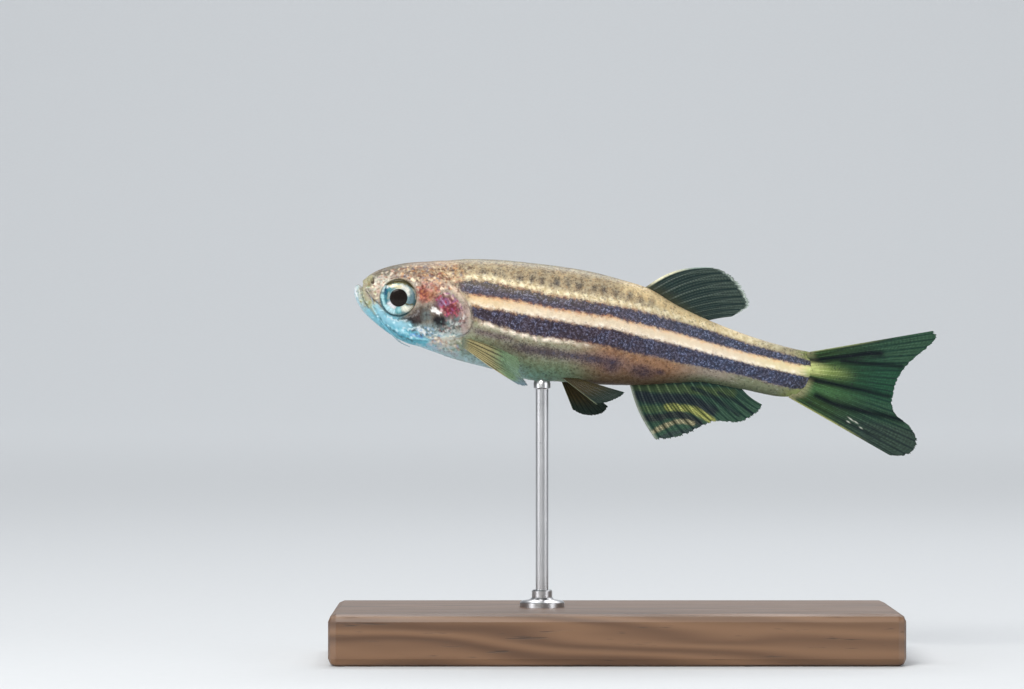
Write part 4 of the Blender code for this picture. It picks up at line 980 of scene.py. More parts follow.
PECTORAL_MARGIN = ((13.6, -2.92), (13.85, -3.4), (13.85, -3.9), (14.2, -4.4), (14.62, -4.82), (14.5, -5.0),
                   (13.95, -4.97))
PECTORAL_RAYS = 8
PELVIC_ROOT, PELVIC_APART, PELVIC_LEAN = (16.95, 17.75), 0.75, (0.9, 1.3)
PELVIC_LEFT_MARGIN = ((20.2, -5.4), (20.9, -5.1), (21.5, -4.75), (22.0, -4.35), (22.2, -4.05))
PELVIC_RIGHT_MARGIN = ((18.5, -6.15), (19.3, -6.38), (20.2, -6.3), (20.9, -5.95), (21.2, -5.4))


def ray_ridges(u, v, rays, joints):
    """Height of the rays over the membrane, each splitting twice towards the margin."""
    place = u * (rays - 1)
    off = place - np.round(place)
    first = 0.20 * rise(v, 0.42, 0.85)
    second = 0.085 * rise(v, 0.68, 1.0)
    width = 0.105 - 0.05 * v
    ridge = np.zeros_like(off)
    for a in (-1, 1):
        for b in (-1, 1):
            for whole in (-1, 0, 1):
                ridge = np.maximum(ridge, hump(off - whole - a * first - b * second, width))
    beads = 0.5 + 0.5 * np.cos(math.tau * (v * joints + 0.37 * np.round(place)))
    return ridge * (1 - 0.28 * rise(v, 0.12, 0.3) * (1 - beads) ** 2), beads


def add_fin(name, replaced, material, root, margin, colours, rays, rows, bow, wave,
            joints=26, closer=14, scallop=0.014, streaks=0.5):
    """A thin plate between root(u) and margin(u) whose rays are raised in its own surface."""
    u = np.linspace(0.0, 1.0, (rays - 1) * closer + 1)
    v = np.linspace(0.0, 1.0, rows + 1)
    u, v = np.meshgrid(u, v, indexing="ij")
    ridge, beads = ray_ridges(u, v, rays, joints)
    tips, _ = ray_ridges(u, np.ones_like(v), rays, joints)
    ragged = 0.004 * np.sin(u * rays * 9.1) + 0.003 * np.sin(u * rays * 23.7)
    reach = v * (1 - scallop * (1 - tips) + ragged * rise(v, 0.6, 1.0))
    start = root(u)
    run = margin(u) - start
    square = unit(np.stack([run[..., 2], 0 * u, -run[..., 0]], -1))
    bend = bow[0] + (bow[1] - bow[0]) * u
    middle = start + run * reach[..., None] + square * (bend * np.sin(math.pi * reach))[..., None]
    middle[..., 1] += wave(u, v)
    normal = grid_normals(middle, False)
    sheet = 0.035 - 0.018 * v + 0.06 * hump(v, 0.07)
    edge = np.maximum(rise(u, 0.012, 0.0), rise(u, 0.988, 1.0))
    half = (sheet + (0.052 - 0.034 * v) * ridge) * (1 - 0.75 * edge) * (1 - 0.7 * rise(v, 0.985, 1.0))
    points = np.stack([middle - normal * half[..., None], middle + normal * half[..., None]])
    thirds = 3 * u * (rays - 1)
    shown = np.maximum(ridge, streaks * hump(thirds - np.round(thirds), 0.20) * rise(v, 0.05, 0.3))
    tone, film = colours(middle[..., 0], middle[..., 2], u, v, shown, beads)
    values = {word: np.concatenate([data.reshape(-1, *data.shape[2:])] * 2)
              for word, data in (("tone", tone), ("film", np.clip(film, 0.0, 1.0)), ("ray", ridge))}
    add_piece(name, points, plate_faces(*u.shape), material, replaced, values)


def in_middle(line, t):
    flat = along(line, t)
    return np.stack([flat[..., 0], 0 * t, flat[..., 1]], -1)


def dorsal_colours(s, z, u, v, ridge, beads):
    tone = mixed((0.012, 0.026, 0.026), (0.045, 0.050, 0.030), rise(v, 0.25, 0.0))
    tone = mixed(tone, (0.12, 0.16, 0.13), ridge * (0.10 + 0.80 * beads) * rise(v, 0.02, 0.2))
    lead = rise(u, 0.05, 0.02) * rise(v, 0.0, 0.25)
    rim = rise(v, 0.95, 0.975) * (0.40 + 0.60 * rise(u, 0.10, 0.45)) * rise(u, 0.95, 0.85)
    front = mixed((0.86, 0.84, 0.60), (0.32, 0.41, 0.38), rise(v, 0.42, 0.78))
    tone = mixed(tone, front, lead * 0.95)
    tone = mixed(tone, (0.50, 0.58, 0.53), rim * (0.4 + 0.6 * beads))
    return tone, 0.98 + 0.02 * ridge + 0.3 * np.maximum(rim, lead) + 0.3 * rise(v, 0.2, 0.0)


# Bands of the anal fin: points, half width, colour between the rays, colour of the rays, strength
ANAL_BANDS = (
    (((22.6, -3.55), (25.0, -3.25), (27.0, -2.95), (30.5, -2.6)), 0.34,
     (0.025, 0.045, 0.020), (0.14, 0.20, 0.09), 0.9),
    (((23.2, -4.15), (24.9, -4.05), (26.9, -3.72), (28.0, -3.85), (29.2, -4.25)), 0.40,
     (0.003, 0.007, 0.014), (0.06, 0.08, 0.08), 0.95),
    (((27.4, -2.75), (29.2, -3.2), (31.3, -4.2)), 0.16,
     (0.003, 0.008, 0.014), (0.04, 0.07, 0.06), 0.85),
    (((29.4, -2.75), (31.0, -3.2), (32.4, -3.9)), 0.12,
     (0.003, 0.008, 0.014), (0.04, 0.07, 0.06), 0.75),
    (((23.5, -5.15), (24.6, -4.95), (25.6, -4.72)), 0.26,
     (0.025, 0.05, 0.025), (0.16, 0.23, 0.10), 0.8),
    (((25.7, -4.62), (26.6, -4.46), (27.6, -4.42), (28.5, -4.68), (29.35, -5.0)), 0.27,
     (0.04, 0.055, 0.015), (0.66, 0.68, 0.22), 0.97),
    (((23.9, -5.8), (24.9, -5.6), (25.7, -5.3), (26.4, -5.08), (27.4, -5.02), (28.4, -5.35)), 0.26,
     (0.003, 0.007, 0.012), (0.07, 0.08, 0.07), 0.95),
    (((24.9, -6.75), (25.6, -6.2), (26.4, -5.68), (27.1, -5.46), (27.9, -5.46)), 0.17,
     (0.03, 0.035, 0.02), (0.66, 0.60, 0.38), 0.95),
    (((25.6, -7.1), (26.6, -6.5), (27.7, -6.1), (28.9, -5.5)), 0.18,
     (0.010, 0.018, 0.020), (0.08, 0.11, 0.11), 0.8),
)


def anal_colours(s, z, u, v, ridge, beads):
    tone = (0.010, 0.030, 0.025)
    light = (0.08, 0.16, 0.10)
    for line, wide, tint, ray_tint, strength in ANAL_BANDS:
        near = distance(s, z, line) + 0.09 * wide * np.sin(u * 83.0) + 0.12 * wide * np.sin(u * 37.0 + 1.0)
        share = rise(near, wide * 1.5, wide * 0.6) * strength
        tone, light = mixed(tone, tint, share), mixed(light, ray_tint, share)
    tone = mixed(tone, light, ridge * (0.40 + 0.55 * beads))
    tone = mixed(tone, (0.36, 0.40, 0.34), rise(u, 0.03, 0.0) * 0.7)
    return tone, 0.985 + 0.01 * ridge + 0.3 * rise(v, 0.15, 0.0)


# Dark bands of the tail fin: points, half width, strength
CAUDAL_BANDS = (
    (((36.0, 0.95), (37.6, 1.5), (39.2, 2.0), (40.4, 2.4), (41.4, 2.55)), 0.28, 1.0),
    (((38.5, 1.45), (40.0, 1.57), (41.5, 1.72), (43.2, 1.90)), 0.22, 0.9),
    (((36.0, -0.40), (38.5, -0.45), (40.6, -0.50), (42.6, -0.55)), 0.21, 1.0),
    (((37.0, -1.55), (38.5, -1.95), (40.5, -2.1), (42.3, -2.15), (44.0, -2.25)), 0.27, 0.95),
    (((36.0, 1.15), (37.5, 1.95), (39.5, 2.9), (42.0, 3.9)), 0.10, 0.45),
    (((36.3, -2.2), (38.5, -2.85), (40.5, -3.4), (42.5, -3.9)), 0.10, 0.5),
)

# Pale flecks on the low lobe of the tail fin: place and half length
CAUDAL_FLECKS = ((40.0, -2.90, 0.24), (39.85, -3.14, 0.14), (40.45, -3.06, 0.16), (40.9, -3.42, 0.12))


def caudal_colours(s, z, u, v, ridge, beads):
    away = rise(s, 37.0, 42.0)
    tone = mixed((0.026, 0.052, 0.018), (0.012, 0.038, 0.028), away)
    light = mixed((0.12, 0.27, 0.11), (0.030, 0.12, 0.06), rise(s, 36.8, 39.5))
    light = mixed(light, (0.07, 0.15, 0.085), rise(abs(z - 0.4), 0.9, 2.2))
    yellow = hump(z - 0.45, 0.42) * rise(s, 40.2, 36.8)
    tone = mixed(tone, (0.20, 0.28, 0.07), yellow * 0.85)
    light = mixed(light, (0.74, 0.84, 0.38), yellow)
    tone = mixed(tone, (0.07, 0.17, 0.07), hump(z + 1.15, 0.42) * rise(s, 42.0, 37.0) * 0.7)
    lobe = rise(z, -2.3, -3.2) * away
    tone = mixed(tone, (0.016, 0.028, 0.028), lobe)
    light = mixed(light, (0.07, 0.10, 0.08), lobe * 0.7)
    tone = mixed(tone, light, ridge * (0.35 + 0.60 * beads))
    for line, wide, strength in CAUDAL_BANDS:
        share = hump(distance(s, z, line), wide) * strength * (1 - 0.12 * ridge)
        tone = mixed(tone, (0.003, 0.006, 0.010), share)
    lead = rise(u, 0.965, 0.995) * rise(v, 0.80, 0.45)
    tone = mixed(tone, (0.40, 0.42, 0.17), lead * 0.75)
    tone = mixed(tone, (0.36, 0.40, 0.20), rise(u, 0.03, 0.005) * rise(v, 0.7, 0.3) * 0.6)
    for at_s, at_z, long in CAUDAL_FLECKS:
        share = 0.85 * patch(s, z, (at_s, at_z), (long, 0.035), -28, 0.8)
        tone = mixed(tone, (0.80, 0.84, 0.74), share)
    glow = rise(v, 0.24, 0.0) * rise(abs(z - 0.46), 0.66, 0.25)
    tone = mixed(tone, (0.66, 0.70, 0.30), glow * (0.55 + 0.45 * ridge))
    root = rise(v, 0.09, 0.0)
    tone = mixed(tone, (0.28, 0.27, 0.15), root * rise(abs(z - 0.42), 0.6, 1.2) * 0.8)
    return tone, 0.985 + 0.01 * ridge + 0.3 * rise(v, 0.12, 0.0) - 0.015 * away


def pectoral_colours(s, z, u, v, ridge, beads):
    spread = u + 0.030 * np.sin(9.0 * u + 1.0) + 0.012 * np.sin(5.0 * v + 14.0 * u)
    gap = hump(np.cos(math.pi * spread * (PECTORAL_RAYS - 1)), 0.36 + 0.20 * v) * rise(v, 0.88, 0.50)
    light = mixed((0.46, 0.40, 0.20), (0.20, 0.32, 0.18), rise(v, 0.40, 0.75))
    light = mixed(light, (0.62, 0.54, 0.30), rise(u, 0.86, 0.97) * rise(v, 0.9, 0.6))
    light = mixed(light, (0.20, 0.29, 0.35), rise(v, 0.80, 0.97) * rise(u, 0.4, 0.7))
    light = light * (0.75 + 0.25 * beads)[..., None]
    tone = mixed(light, (0.030, 0.024, 0.010), np.minimum(gap * 1.15, 1.0))
    tone = mixed(tone, (0.16, 0.20, 0.16), rise(v, 0.16, 0.0))
    lower = rise(u, 0.35, 0.75)
    soft = 1 - 0.55 * rise(v, 0.55, 1.0) * (1 - 0.6 * lower)
    film = (0.70 + 0.20 * lower) * soft + 0.20 * gap + 0.15 * ridge * soft
    return tone, film + 0.4 * rise(v, 0.12, 0.0)


def pelvic_colours(s, z, u, v, ridge, beads):
    tone = mixed((0.016, 0.014, 0.004), (0.006, 0.014, 0.012), rise(v, 0.4, 0.9))
    light = mixed((0.15, 0.10, 0.025), (0.035, 0.06, 0.045), rise(v, 0.4, 0.9))
    tone = mixed(tone, light, ridge * (0.25 + 0.6 * beads))
    tone = mixed(tone, (0.26, 0.30, 0.18), rise(u, 0.04, 0.0) * 0.7)
    return tone, 0.98 + 0.02 * ridge + 0.3 * rise(v, 0.15, 0.0)


def edge_root(ends, edge, sunk):
    """Root of a fin in the middle plane, along the back or the belly and sunk into it."""
    def root(u):
        s = ends[0] + (ends[1] - ends[0]) * u
        return np.stack([s, 0 * u, smooth(edge, s) - sunk], -1)
    return root


def tail_root(u):
    z = CAUDAL_TOP + (CAUDAL_BOTTOM - CAUDAL_TOP) * u
    return np.stack([line_at(TAIL_END, z) - 0.1, 0 * u, z], -1)


def tail_margin(u):
    fork = (CAUDAL_TOP - CAUDAL_SPLIT) / (CAUDAL_TOP - CAUDAL_BOTTOM)
    upper = in_middle(CAUDAL_UPPER_MARGIN, u / fork)
    lower = in_middle(CAUDAL_LOWER_MARGIN, (u - fork) / (1 - fork))
    return np.where((u < fork)[..., None], upper, lower)


def add_fins(material):
    add_fin("dorsal_fin_skin", ("dorsal_fin",), material, edge_root(DORSAL_ROOT, BACK, FIN_SUNK),
            lambda u: in_middle(DORSAL_MARGIN, u), dorsal_colours, 9, 70, (-0.58, -0.05),
            lambda u, v: 0.10 * np.sin(3 * u) * v, closer=16, scallop=0.030)
    add_fin("anal_fin_skin", ("anal_fin",), material, edge_root(ANAL_ROOT, BELLY, -FIN_SUNK),
            lambda u: in_middle(ANAL_MARGIN, u), anal_colours, 14, 64, (0.28, 0.15),
            lambda u, v: 0.12 * np.sin(7 * u + 1) * v, scallop=0.034)
    add_fin("tail_fin_skin", ("caudal_fin_upper", "caudal_fin_lower"), material, tail_root, tail_margin,
            caudal_colours, 18, 84, (0.0, 0.0), lambda u, v: 0.14 * np.sin(6 * u) * v,
            joints=34, scallop=0.010)

    for side, word in SIDES:
        def pectoral_root(u, side=side):
            flat = along(PECTORAL_ROOT, u)
            s, z = flat[..., 0], flat[..., 1]
            return np.stack([s - 0.15, side * (flank(s, z) - 0.10), z], -1)

        def pectoral_margin(u, side=side):
            flat = along(PECTORAL_MARGIN, u)
            root = along(PECTORAL_ROOT, u)
            lean = flank(root[..., 0], root[..., 1]) + 1.92
            return np.stack([flat[..., 0], side * lean, flat[..., 1]], -1)

        add_fin(f"pectoral_fin_{word}_skin", (f"pectoral_fin_{word}",), material, pectoral_root,
                pectoral_margin, pectoral_colours, PECTORAL_RAYS, 56, (-0.12, 0.10),
                lambda u, v, side=side: side * 0.22 * np.sin(math.pi * u) * v,
                closer=18, scallop=0.035, streaks=0.0)

    for (side, word), outline, lean in zip(SIDES, (PELVIC_LEFT_MARGIN, PELVIC_RIGHT_MARGIN), PELVIC_LEAN):
        def pelvic_root(u, side=side):
            s = PELVIC_ROOT[0] + (PELVIC_ROOT[1] - PELVIC_ROOT[0]) * u
            return np.stack([s, 0 * u + side * PELVIC_APART, under_side(s, PELVIC_APART) + 0.2], -1)

        def pelvic_margin(u, side=side, outline=outline, lean=lean):
            flat = along(outline, u)
            return np.stack([flat[..., 0], 0 * u + side * (PELVIC_APART + lean), flat[..., 1]], -1)

        add_fin(f"pelvic_fin_{word}_skin", (f"pelvic_fin_{word}",), material, pelvic_root, pelvic_margin,
                pelvic_colours, 8, 50, (0.0, 0.0),
                lambda u, v, side=side: side * 0.12 * np.sin(math.pi * u) * v)


# Materials

class Tree:
    """Short calls for making and joining the nodes of one material."""

    def __init__(self, name):
        self.material = bpy.data.materials.new(name)
        self.material.use_nodes = True
        self.nodes = self.material.node_tree.nodes
        self.links = self.material.node_tree.links
        self.shader = self.nodes["Principled BSDF"]

    def add(self, kind, settings=None, **inputs):
        made = self.nodes.new("ShaderNode" + kind)
        for key, value in (settings or {}).items():
            setattr(made, key, value)
        for key, value in inputs.items():
            key = int(key[1:]) if key[0] == "i" and key[1:].isdigit() else key.replace("_", " ")
            self.put(made.inputs[key], value)
        return made

    def put(self, socket, value):
        if isinstance(value, bpy.types.NodeSocket):
            self.links.new(value, socket)
        else:
            socket.default_value = value

    def set(self, **inputs):
        for key, value in inputs.items():
            self.put(self.shader.inputs[key.replace("_", " ")], value)

    def attribute(self, name, output="Fac"):
        return self.add("Attribute", {"attribute_name": name}).outputs[output]

    def math(self, operation, a, b=0.0, clamp=False):
        return self.add("Math", {"operation": operation, "use_clamp": clamp}, i0=a, i1=b).outputs[0]

    def times(self, a, b):
        return self.math("MULTIPLY", a, b)

    def plus(self, a, b, clamp=False):
        return self.math("ADD", a, b, clamp)

    def minus(self, a, b, clamp=False):
        return self.math("SUBTRACT", a, b, clamp)

    def step(self, value, low, high):
        made = self.add("MapRange", {"interpolation_type": "SMOOTHSTEP"}, Value=value)
        made.inputs["From Min"].default_value = low
        made.inputs["From Max"].default_value = high
        return made.outputs[0]

    def noise(self, vector, scale, detail=3.0, roughness=0.5):
        made = self.add("TexNoise", Vector=vector, Scale=scale, Detail=detail, Roughness=roughness)
        return made.outputs[0]

    def cells(self, vector, scale):
        return self.add("TexVoronoi", Vector=vector, Scale=scale)

    def blend(self, share, a, b, mode="MIX"):
        made = self.add("Mix", {"data_type": "RGBA", "blend_type": mode}, i0=share)
        for index, value in ((6, a), (7, b)):
            self.put(made.inputs[index], (*value, 1.0) if isinstance(value, tuple) else value)
        return made.outputs[2]

    def stretched(self, vector, scale):
        return self.add("Mapping", Vector=vector, Scale=scale).outputs[0]

    def bump(self, height, strength, distance):
        made = self.add("Bump", Height=height, Strength=strength, Distance=distance)
        self.set(Normal=made.outputs[0])


def skin_material():
    """Wet skin: pigment cells scattered by their density, silver under them with painted glints, and a
    clear coat of slime.
    """
    tree = Tree("danio_skin")
    place = tree.attribute("fish", "Vector")
    dark, silver = tree.attribute("dark"), tree.attribute("silver")
    tone = tree.attribute("tone", "Color")

    mottle = tree.noise(place, 2.2, 4.0, 0.65)
    swing = tree.times(tree.times(dark, tree.minus(1.0, dark)), 4.2)
    density = tree.plus(dark, tree.times(tree.minus(mottle, 0.5), swing))
    cover = None
    for scale, near, far in ((7.8, 0.22, 0.70), (4.4, 0.15, 0.70)):
        cell = tree.cells(place, scale)
        chance = tree.add("SeparateColor", Color=cell.outputs["Color"]).outputs[0]
        there = tree.math("LESS_THAN", chance, density)
        disc = tree.times(there, tree.step(cell.outputs["Distance"], far, near))
        cover = disc if cover is None else tree.math("MAXIMUM", cover, disc)
    cover = tree.times(cover, tree.plus(0.55, tree.times(tree.step(dark, 0.3, 0.8), 0.40)))
    full = tree.times(tree.step(density, 0.60, 0.90), 0.88)
    cover = tree.math("MAXIMUM", cover, full)

    deep = tree.step(dark, 0.82, 0.89)
    blue = tree.step(tree.noise(place, 1.5, 3.0, 0.6), 0.44, 0.58)
    ink = tree.blend(blue, (0.036, 0.025, 0.038), (0.016, 0.027, 0.066))
    speckle = tree.noise(place, 5.4, 4.0, 0.80)
    ink = tree.blend(tree.step(speckle, 0.53, 0.42), ink, (0.004, 0.004, 0.008))
    glow = tree.times(tree.step(speckle, 0.51, 0.61), tree.plus(0.45, tree.times(blue, 0.55)))
    ink = tree.blend(0.15, ink, tone)
    ink = tree.blend(tree.times(glow, deep), ink, tree.blend(0.50, tone, (0.28, 0.31, 0.48)))
    faint = tree.blend(1.0, tone, (0.22, 0.19, 0.23), "MULTIPLY")
    ink = tree.blend(tree.step(dark, 0.86, 0.55), ink, faint)

    grain = tree.noise(place, 3.4, 4.0, 0.72)
    grit = tree.times(0.62, tree.step(silver, 0.62, 0.05))
    gritty = tree.blend(grit, tone, (0.42, 0.30, 0.20), "MULTIPLY")
    specks_and_glints = tree.blend(tree.step(grain, 0.36, 0.62), gritty, tone)
    channels = tree.add("SeparateColor", Color=tone).outputs
    redness = tree.minus(channels[0], channels[2])
    warm = tree.times(tree.step(silver, 0.62, 0.30), tree.times(tree.step(redness, 0.06, 0.20), 0.34))
    orange = tree.times(tree.step(tree.noise(place, 3.6, 4.0, 0.7), 0.56, 0.68), warm)
    specks_and_glints = tree.blend(orange, specks_and_glints, (0.62, 0.34, 0.15))
    # Painted glints: near-white spots mixed into the colour where the skin is silvery, standing in for
    # sparkles of light off the scales.
    gloss = tree.noise(tree.stretched(place, (0.7, 1.0, 1.5)), 4.6, 4.0, 0.7)
    painted_glint = tree.times(tree.step(gloss, 0.55, 0.75), silver)
    painted_glint = tree.times(painted_glint, tree.plus(0.40, tree.times(tree.step(redness, -0.10, 0.05), 0.60)))
    specks_and_glints = tree.blend(painted_glint, specks_and_glints, tree.blend(0.55, tone, (1.0, 0.98, 0.92)))
    tree.set(Base_Color=tree.blend(cover, specks_and_glints, ink))

    tree.set(Metallic=tree.times(silver, 0.30))
    rough = tree.plus(0.30, tree.times(tree.noise(place, 6.0, 3.0), 0.24))
    tree.set(Roughness=rough, Specular_IOR_Level=0.20, Coat_Weight=0.06, Coat_Roughness=0.12)
    tree.shader.inputs["Subsurface Weight"].default_value = 0.06
    tree.shader.inputs["Subsurface Scale"].default_value = 0.0002
    pits = tree.cells(place, 9.0).outputs["Distance"]
    fine = tree.plus(tree.times(pits, 0.5), tree.noise(place, 14.0, 3.0))
    tree.bump(fine, 0.35, 0.00003)
    return tree.material


def eye_material():
    """Iris of silver threads round a black pupil, under a clear wet cornea."""
    tree = Tree("danio_eye")
    place = tree.attribute("fish", "Vector")
    angle, iris = tree.attribute("angle"), tree.attribute("iris")
    tone = tree.attribute("tone", "Color")
    round_place = tree.add("CombineXYZ", X=tree.times(tree.math("SINE", angle), 7.0),
                           Y=tree.times(tree.math("COSINE", angle), 7.0)).outputs[0]
    threads = tree.noise(round_place, 4.0, 4.0, 0.65)
    flecks = tree.noise(place, 7.0, 3.0, 0.6)
    weave = tree.times(tree.step(threads, 0.35, 0.7), iris)
    fleck = tree.times(tree.times(tree.step(flecks, 0.52, 0.70), iris), 0.45)
    colour = tree.blend(weave, tree.blend(0.60, tone, (0.44, 0.46, 0.42), "MULTIPLY"), tone)
    colour = tree.blend(fleck, colour, tree.blend(0.6, tone, (0.50, 0.46, 0.34), "MULTIPLY"))
    pupil = tree.blend(iris, tone, colour)
    tree.set(Base_Color=pupil, Metallic=tree.times(iris, 0.10))
    tree.set(Roughness=tree.plus(0.16, tree.times(flecks, 0.22)))
    tree.set(Specular_IOR_Level=0.06, Coat_Weight=0.16, Coat_Roughness=0.03)
    tree.bump(tree.times(threads, iris), 0.25, 0.00002)
    return tree.material


def barbel_material():
    tree = Tree("danio_barbel")
    place = tree.attribute("fish", "Vector")
    tone = tree.attribute("tone", "Color")
    speck = tree.noise(place, 9.0, 3.0)
    colour = tree.blend(tree.times(tree.step(speck, 0.5, 0.7), 0.35), tone, (0.18, 0.16, 0.14))
    tree.set(Base_Color=colour, Roughness=tree.plus(0.3, tree.times(speck, 0.2)))
    tree.set(Coat_Weight=0.3, Coat_Roughness=0.15)
    tree.bump(speck, 0.3, 0.00002)
    return tree.material


def fin_material():
    """Dark, almost opaque membrane with bony rays, as a clear fin looks against dark water."""
    tree = Tree("danio_fin")
    place = tree.attribute("fish", "Vector")
    ray, film = tree.attribute("ray"), tree.attribute("film")
    tone = tree.attribute("tone", "Color")
    cloud = tree.noise(place, 1.4, 4.0, 0.6)
    cell = tree.cells(place, 6.0)
    chance = tree.add("SeparateColor", Color=cell.outputs["Color"]).outputs[0]
    dots = tree.times(tree.math("LESS_THAN", chance, tree.step(cloud, 0.42, 0.75)),
                     tree.step(cell.outputs["Distance"], 0.5, 0.25))
    dots = tree.times(tree.times(dots, tree.minus(1.0, ray, clamp=True)), 0.6)
    colour = tree.blend(dots, tone, (0.02, 0.024, 0.03))
    shade = tree.step(tree.noise(place, 4.5, 3.0, 0.6), 0.30, 0.72)
    colour = tree.blend(shade, tree.blend(0.45, colour, (0.45, 0.45, 0.40), "MULTIPLY"), colour)
    tree.set(Base_Color=colour)
    thin = tree.plus(film, tree.times(tree.minus(cloud, 0.5), 0.06), clamp=True)
    tree.set(Alpha=tree.math("MAXIMUM", thin, tree.times(dots, 0.9)))
    tree.set(Roughness=tree.plus(0.34, tree.times(cloud, 0.2)), Specular_IOR_Level=0.10)
    tree.set(Coat_Weight=0.03, Coat_Roughness=0.12)
    tree.bump(tree.plus(ray, tree.times(tree.noise(place, 11.0, 3.0), 0.4)), 0.3, 0.00003)
    return tree.material


def walnut_material():
    """Oiled walnut with its grain along the base."""
    tree = Tree("stand_walnut")
    place = tree.add("TexCoord").outputs["Object"]
    warp = tree.noise(tree.stretched(place, (16.0, 110.0, 110.0)), 1.0, 3.0)
    bent = tree.add("VectorMath", {"operation": "ADD"}, i0=tree.stretched(place, (10.0, 700.0, 700.0)),
                    i1=tree.add("CombineXYZ", X=0.0, Y=tree.times(warp, 7.0),
                                Z=tree.times(warp, 7.0)).outputs[0]).outputs[0]
    bands = {"wave_type": "BANDS", "bands_direction": "DIAGONAL", "wave_profile": "SIN"}
    rings = tree.add("TexWave", bands, Vector=bent, Scale=0.42, Distortion=1.4, Detail=3.0,
                     Detail_Scale=1.4).outputs[0]
    pores = tree.noise(tree.stretched(place, (220.0, 3200.0, 3200.0)), 1.0, 3.0, 0.7)
    colour = tree.blend(rings, (0.095, 0.046, 0.022), (0.185, 0.098, 0.050))
    colour = tree.blend(tree.times(tree.step(warp, 0.35, 0.75), 0.5), colour, (0.225, 0.128, 0.070))
    pore = tree.step(pores, 0.62, 0.72)
    colour = tree.blend(tree.times(pore, 0.7), colour, (0.030, 0.016, 0.009))
    tree.set(Base_Color=colour, Roughness=tree.plus(0.34, tree.times(pores, 0.22)))
    tree.set(Coat_Weight=0.15, Coat_Roughness=0.25)
    tree.bump(tree.minus(rings, pore), 0.25, 0.00008)
    return tree.material


def steel_material():
    """Steel brushed round the rod."""
    tree = Tree("stand_steel")
    place = tree.add("TexCoord").outputs["Object"]
    brushed = tree.noise(tree.stretched(place, (300.0, 300.0, 9000.0)), 1.0, 3.0, 0.6)
    stain = tree.noise(place, 300.0, 3.0)
    colour = tree.blend(tree.step(stain, 0.3, 0.8), (0.60, 0.60, 0.61), (0.50, 0.50, 0.51))
    tree.set(Base_Color=colour, Metallic=1.0)
    tree.set(Roughness=tree.plus(0.22, tree.times(brushed, 0.20)))
    tree.bump(brushed, 0.2, 0.00002)
    return tree.material


def backdrop_material():
    tree = Tree("studio_paper")
    place = tree.add("TexCoord").outputs["Object"]
    fibre = tree.noise(place, 900.0, 3.0)
    colour = tree.blend(fibre, (0.70, 0.72, 0.74), (0.73, 0.75, 0.77))
    tree.set(Base_Color=colour, Roughness=0.9)
    tree.shader.inputs["Specular IOR Level"].default_value = 0.2
    tree.bump(fibre, 0.05, 0.00005)
    return tree.material


# Stand, studio and camera

TURNED_SIDES = 48


def add_turning(name, profile, centre, material):
    """A round piece turned from (radius, height) points about an upright axis, in millimetres."""
    sides = TURNED_SIDES
    angle = math.tau * np.arange(sides) / sides
    ring = np.stack([np.cos(angle), np.sin(angle)], -1)
    points = np.array([[(centre[0] + r * a, centre[1] + r * b, h) for a, b in ring] for r, h in profile])
    faces = quads(len(profile), sides, True).tolist()
    faces += [list(range(sides))[::-1], list(range((len(profile) - 1) * sides, len(profile) * sides))]
    mesh = bpy.data.meshes.new(name)
    mesh.from_pydata((points.reshape(-1, 3) * MM).tolist(), [], faces)
    mesh.shade_smooth()
    mesh.set_sharp_from_angle(angle=math.radians(40))
    mesh.materials.append(material)
    piece = bpy.data.objects.new(name, mesh)
    bpy.context.scene.collection.objects.link(piece)
    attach(piece, BODY)


def dress_stand():
    walnut, steel = walnut_material(), steel_material()
    for name, material in (("stand_base", walnut), ("stand_rod", steel)):
        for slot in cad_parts[name].material_slots:
            slot.material = material
    low, high = (np.array(corner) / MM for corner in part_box("stand_rod"))
    centre = (low[:2] + high[:2]) / 2
    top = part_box("stand_base")[1][2] / MM
    collar = ((1.75, top), (1.75, top + 0.35), (1.6, top + 0.5), (0.95, top + 0.6), (0.80, top + 0.75),
              (0.80, top + 1.25), (0.70, top + 1.35), (0.5, top + 1.35))
    add_turning("stand_collar", collar, centre, steel)
    end = high[2]
    tip = ((0.5, end - 0.35), (0.66, end - 0.25), (0.66, end + 0.12), (0.60, end + 0.30),
           (0.45, end + 0.55))
    add_turning("stand_tip", tip, centre, steel)


def add_backdrop():
    """A pale floor that curves up far behind the fish."""
    profile = [(-3.0, 0.0), (1.2, 0.0)]
    curve = np.linspace(0.05, math.pi / 2, 24)
    profile += [(1.2 + 0.9 * math.sin(a), 0.9 - 0.9 * math.cos(a)) for a in curve]
    profile += [(2.1, 3.0)]
    points = [(x, y, z) for y, z in profile for x in (-3.0, 3.0)]
    faces = [(2 * i, 2 * i + 1, 2 * i + 3, 2 * i + 2) for i in range(len(profile) - 1)]
    mesh = bpy.data.meshes.new("backdrop")
    mesh.from_pydata(points, [], faces)
    mesh.shade_smooth()
    mesh.materials.append(backdrop_material())
    backdrop = bpy.data.objects.new("backdrop", mesh)
    bpy.context.scene.collection.objects.link(backdrop)


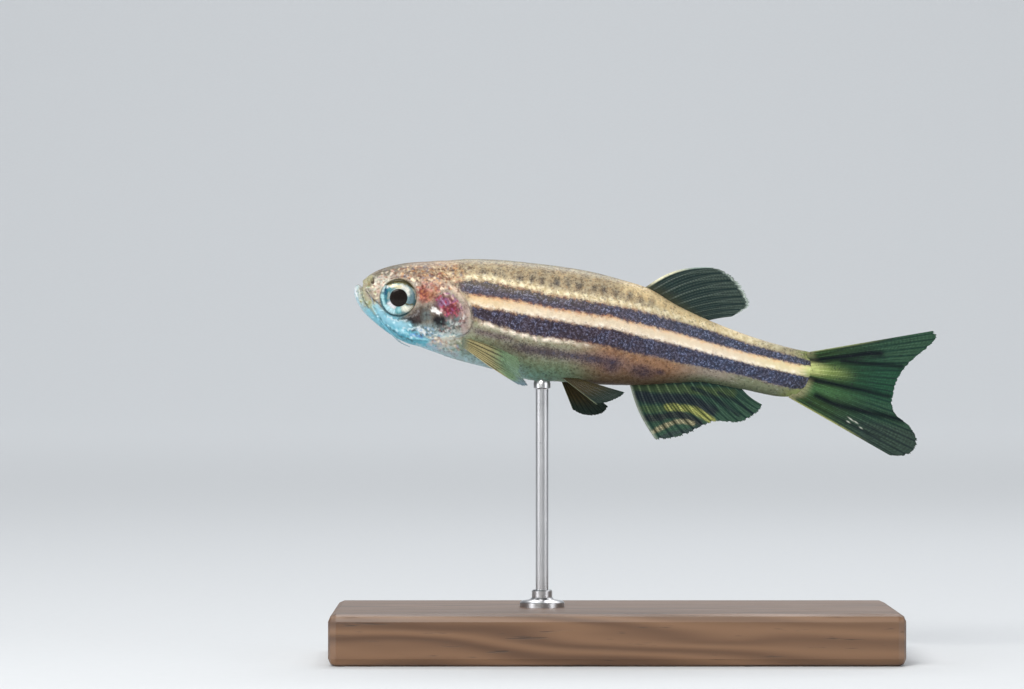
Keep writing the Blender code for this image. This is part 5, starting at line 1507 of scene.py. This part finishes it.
# Lamps: name, place, width, power, colour and the place they point at, in metres
FISH = (0.0, 0.0, 0.025)
LAMPS = (
    ("key", (-0.12, -0.34, 0.27), 0.20, 1.55, (1.0, 0.98, 0.95), FISH),
    ("rim", (0.12, 0.20, 0.30), 0.22, 0.22, (0.97, 0.98, 1.0), FISH),
    ("left", (-0.42, -0.30, 0.12), 0.26, 0.75, (0.97, 0.98, 1.0), FISH),
    ("right", (0.42, -0.30, 0.12), 0.26, 0.65, (0.97, 0.98, 1.0), FISH),
    ("ceiling", (0.0, 1.0, 1.5), 1.3, 18.0, (0.98, 0.99, 1.0), (0.0, 1.01, 0.0)),
)
SKY_COLOUR, SKY_STRENGTH = (0.90, 0.95, 1.0, 1.0), 0.14


def add_studio():
    add_backdrop()
    for name, place, width, power, colour, target in LAMPS:
        data = bpy.data.lights.new(name, "AREA")
        data.shape, data.size, data.energy, data.color = "DISK", width, power, colour
        lamp = bpy.data.objects.new(name, data)
        lamp.location = place
        lamp.rotation_euler = (Vector(place) - Vector(target)).to_track_quat("Z", "Y").to_euler()
        bpy.context.scene.collection.objects.link(lamp)
    world = bpy.data.worlds.new("studio")
    world.use_nodes = True
    sky = world.node_tree.nodes["Background"]
    sky.inputs["Color"].default_value = SKY_COLOUR
    sky.inputs["Strength"].default_value = SKY_STRENGTH
    bpy.context.scene.world = world
    bpy.context.scene.view_settings.view_transform = "Standard"


# The lens and place give the photo's scale of 0.078 mm a pixel at the fish
CAMERA_PLACE, CAMERA_LENS, CAMERA_SENSOR = (-0.008, -0.400, 0.0245), 180.0, 36.0


def add_camera():
    data = bpy.data.cameras.new("camera")
    data.lens, data.sensor_width, data.sensor_fit = CAMERA_LENS, CAMERA_SENSOR, "HORIZONTAL"
    data.clip_start, data.clip_end = 0.01, 20.0
    camera = bpy.data.objects.new("camera", data)
    camera.location = CAMERA_PLACE
    camera.rotation_euler = (math.pi / 2, 0.0, 0.0)
    bpy.context.scene.collection.objects.link(camera)
    bpy.context.scene.camera = camera


skin = skin_material()
add_skin(skin)
add_scales(skin)
add_eyes(eye_material())
add_barbels(barbel_material())
add_fins(fin_material())
dress_stand()
add_studio()
add_camera()
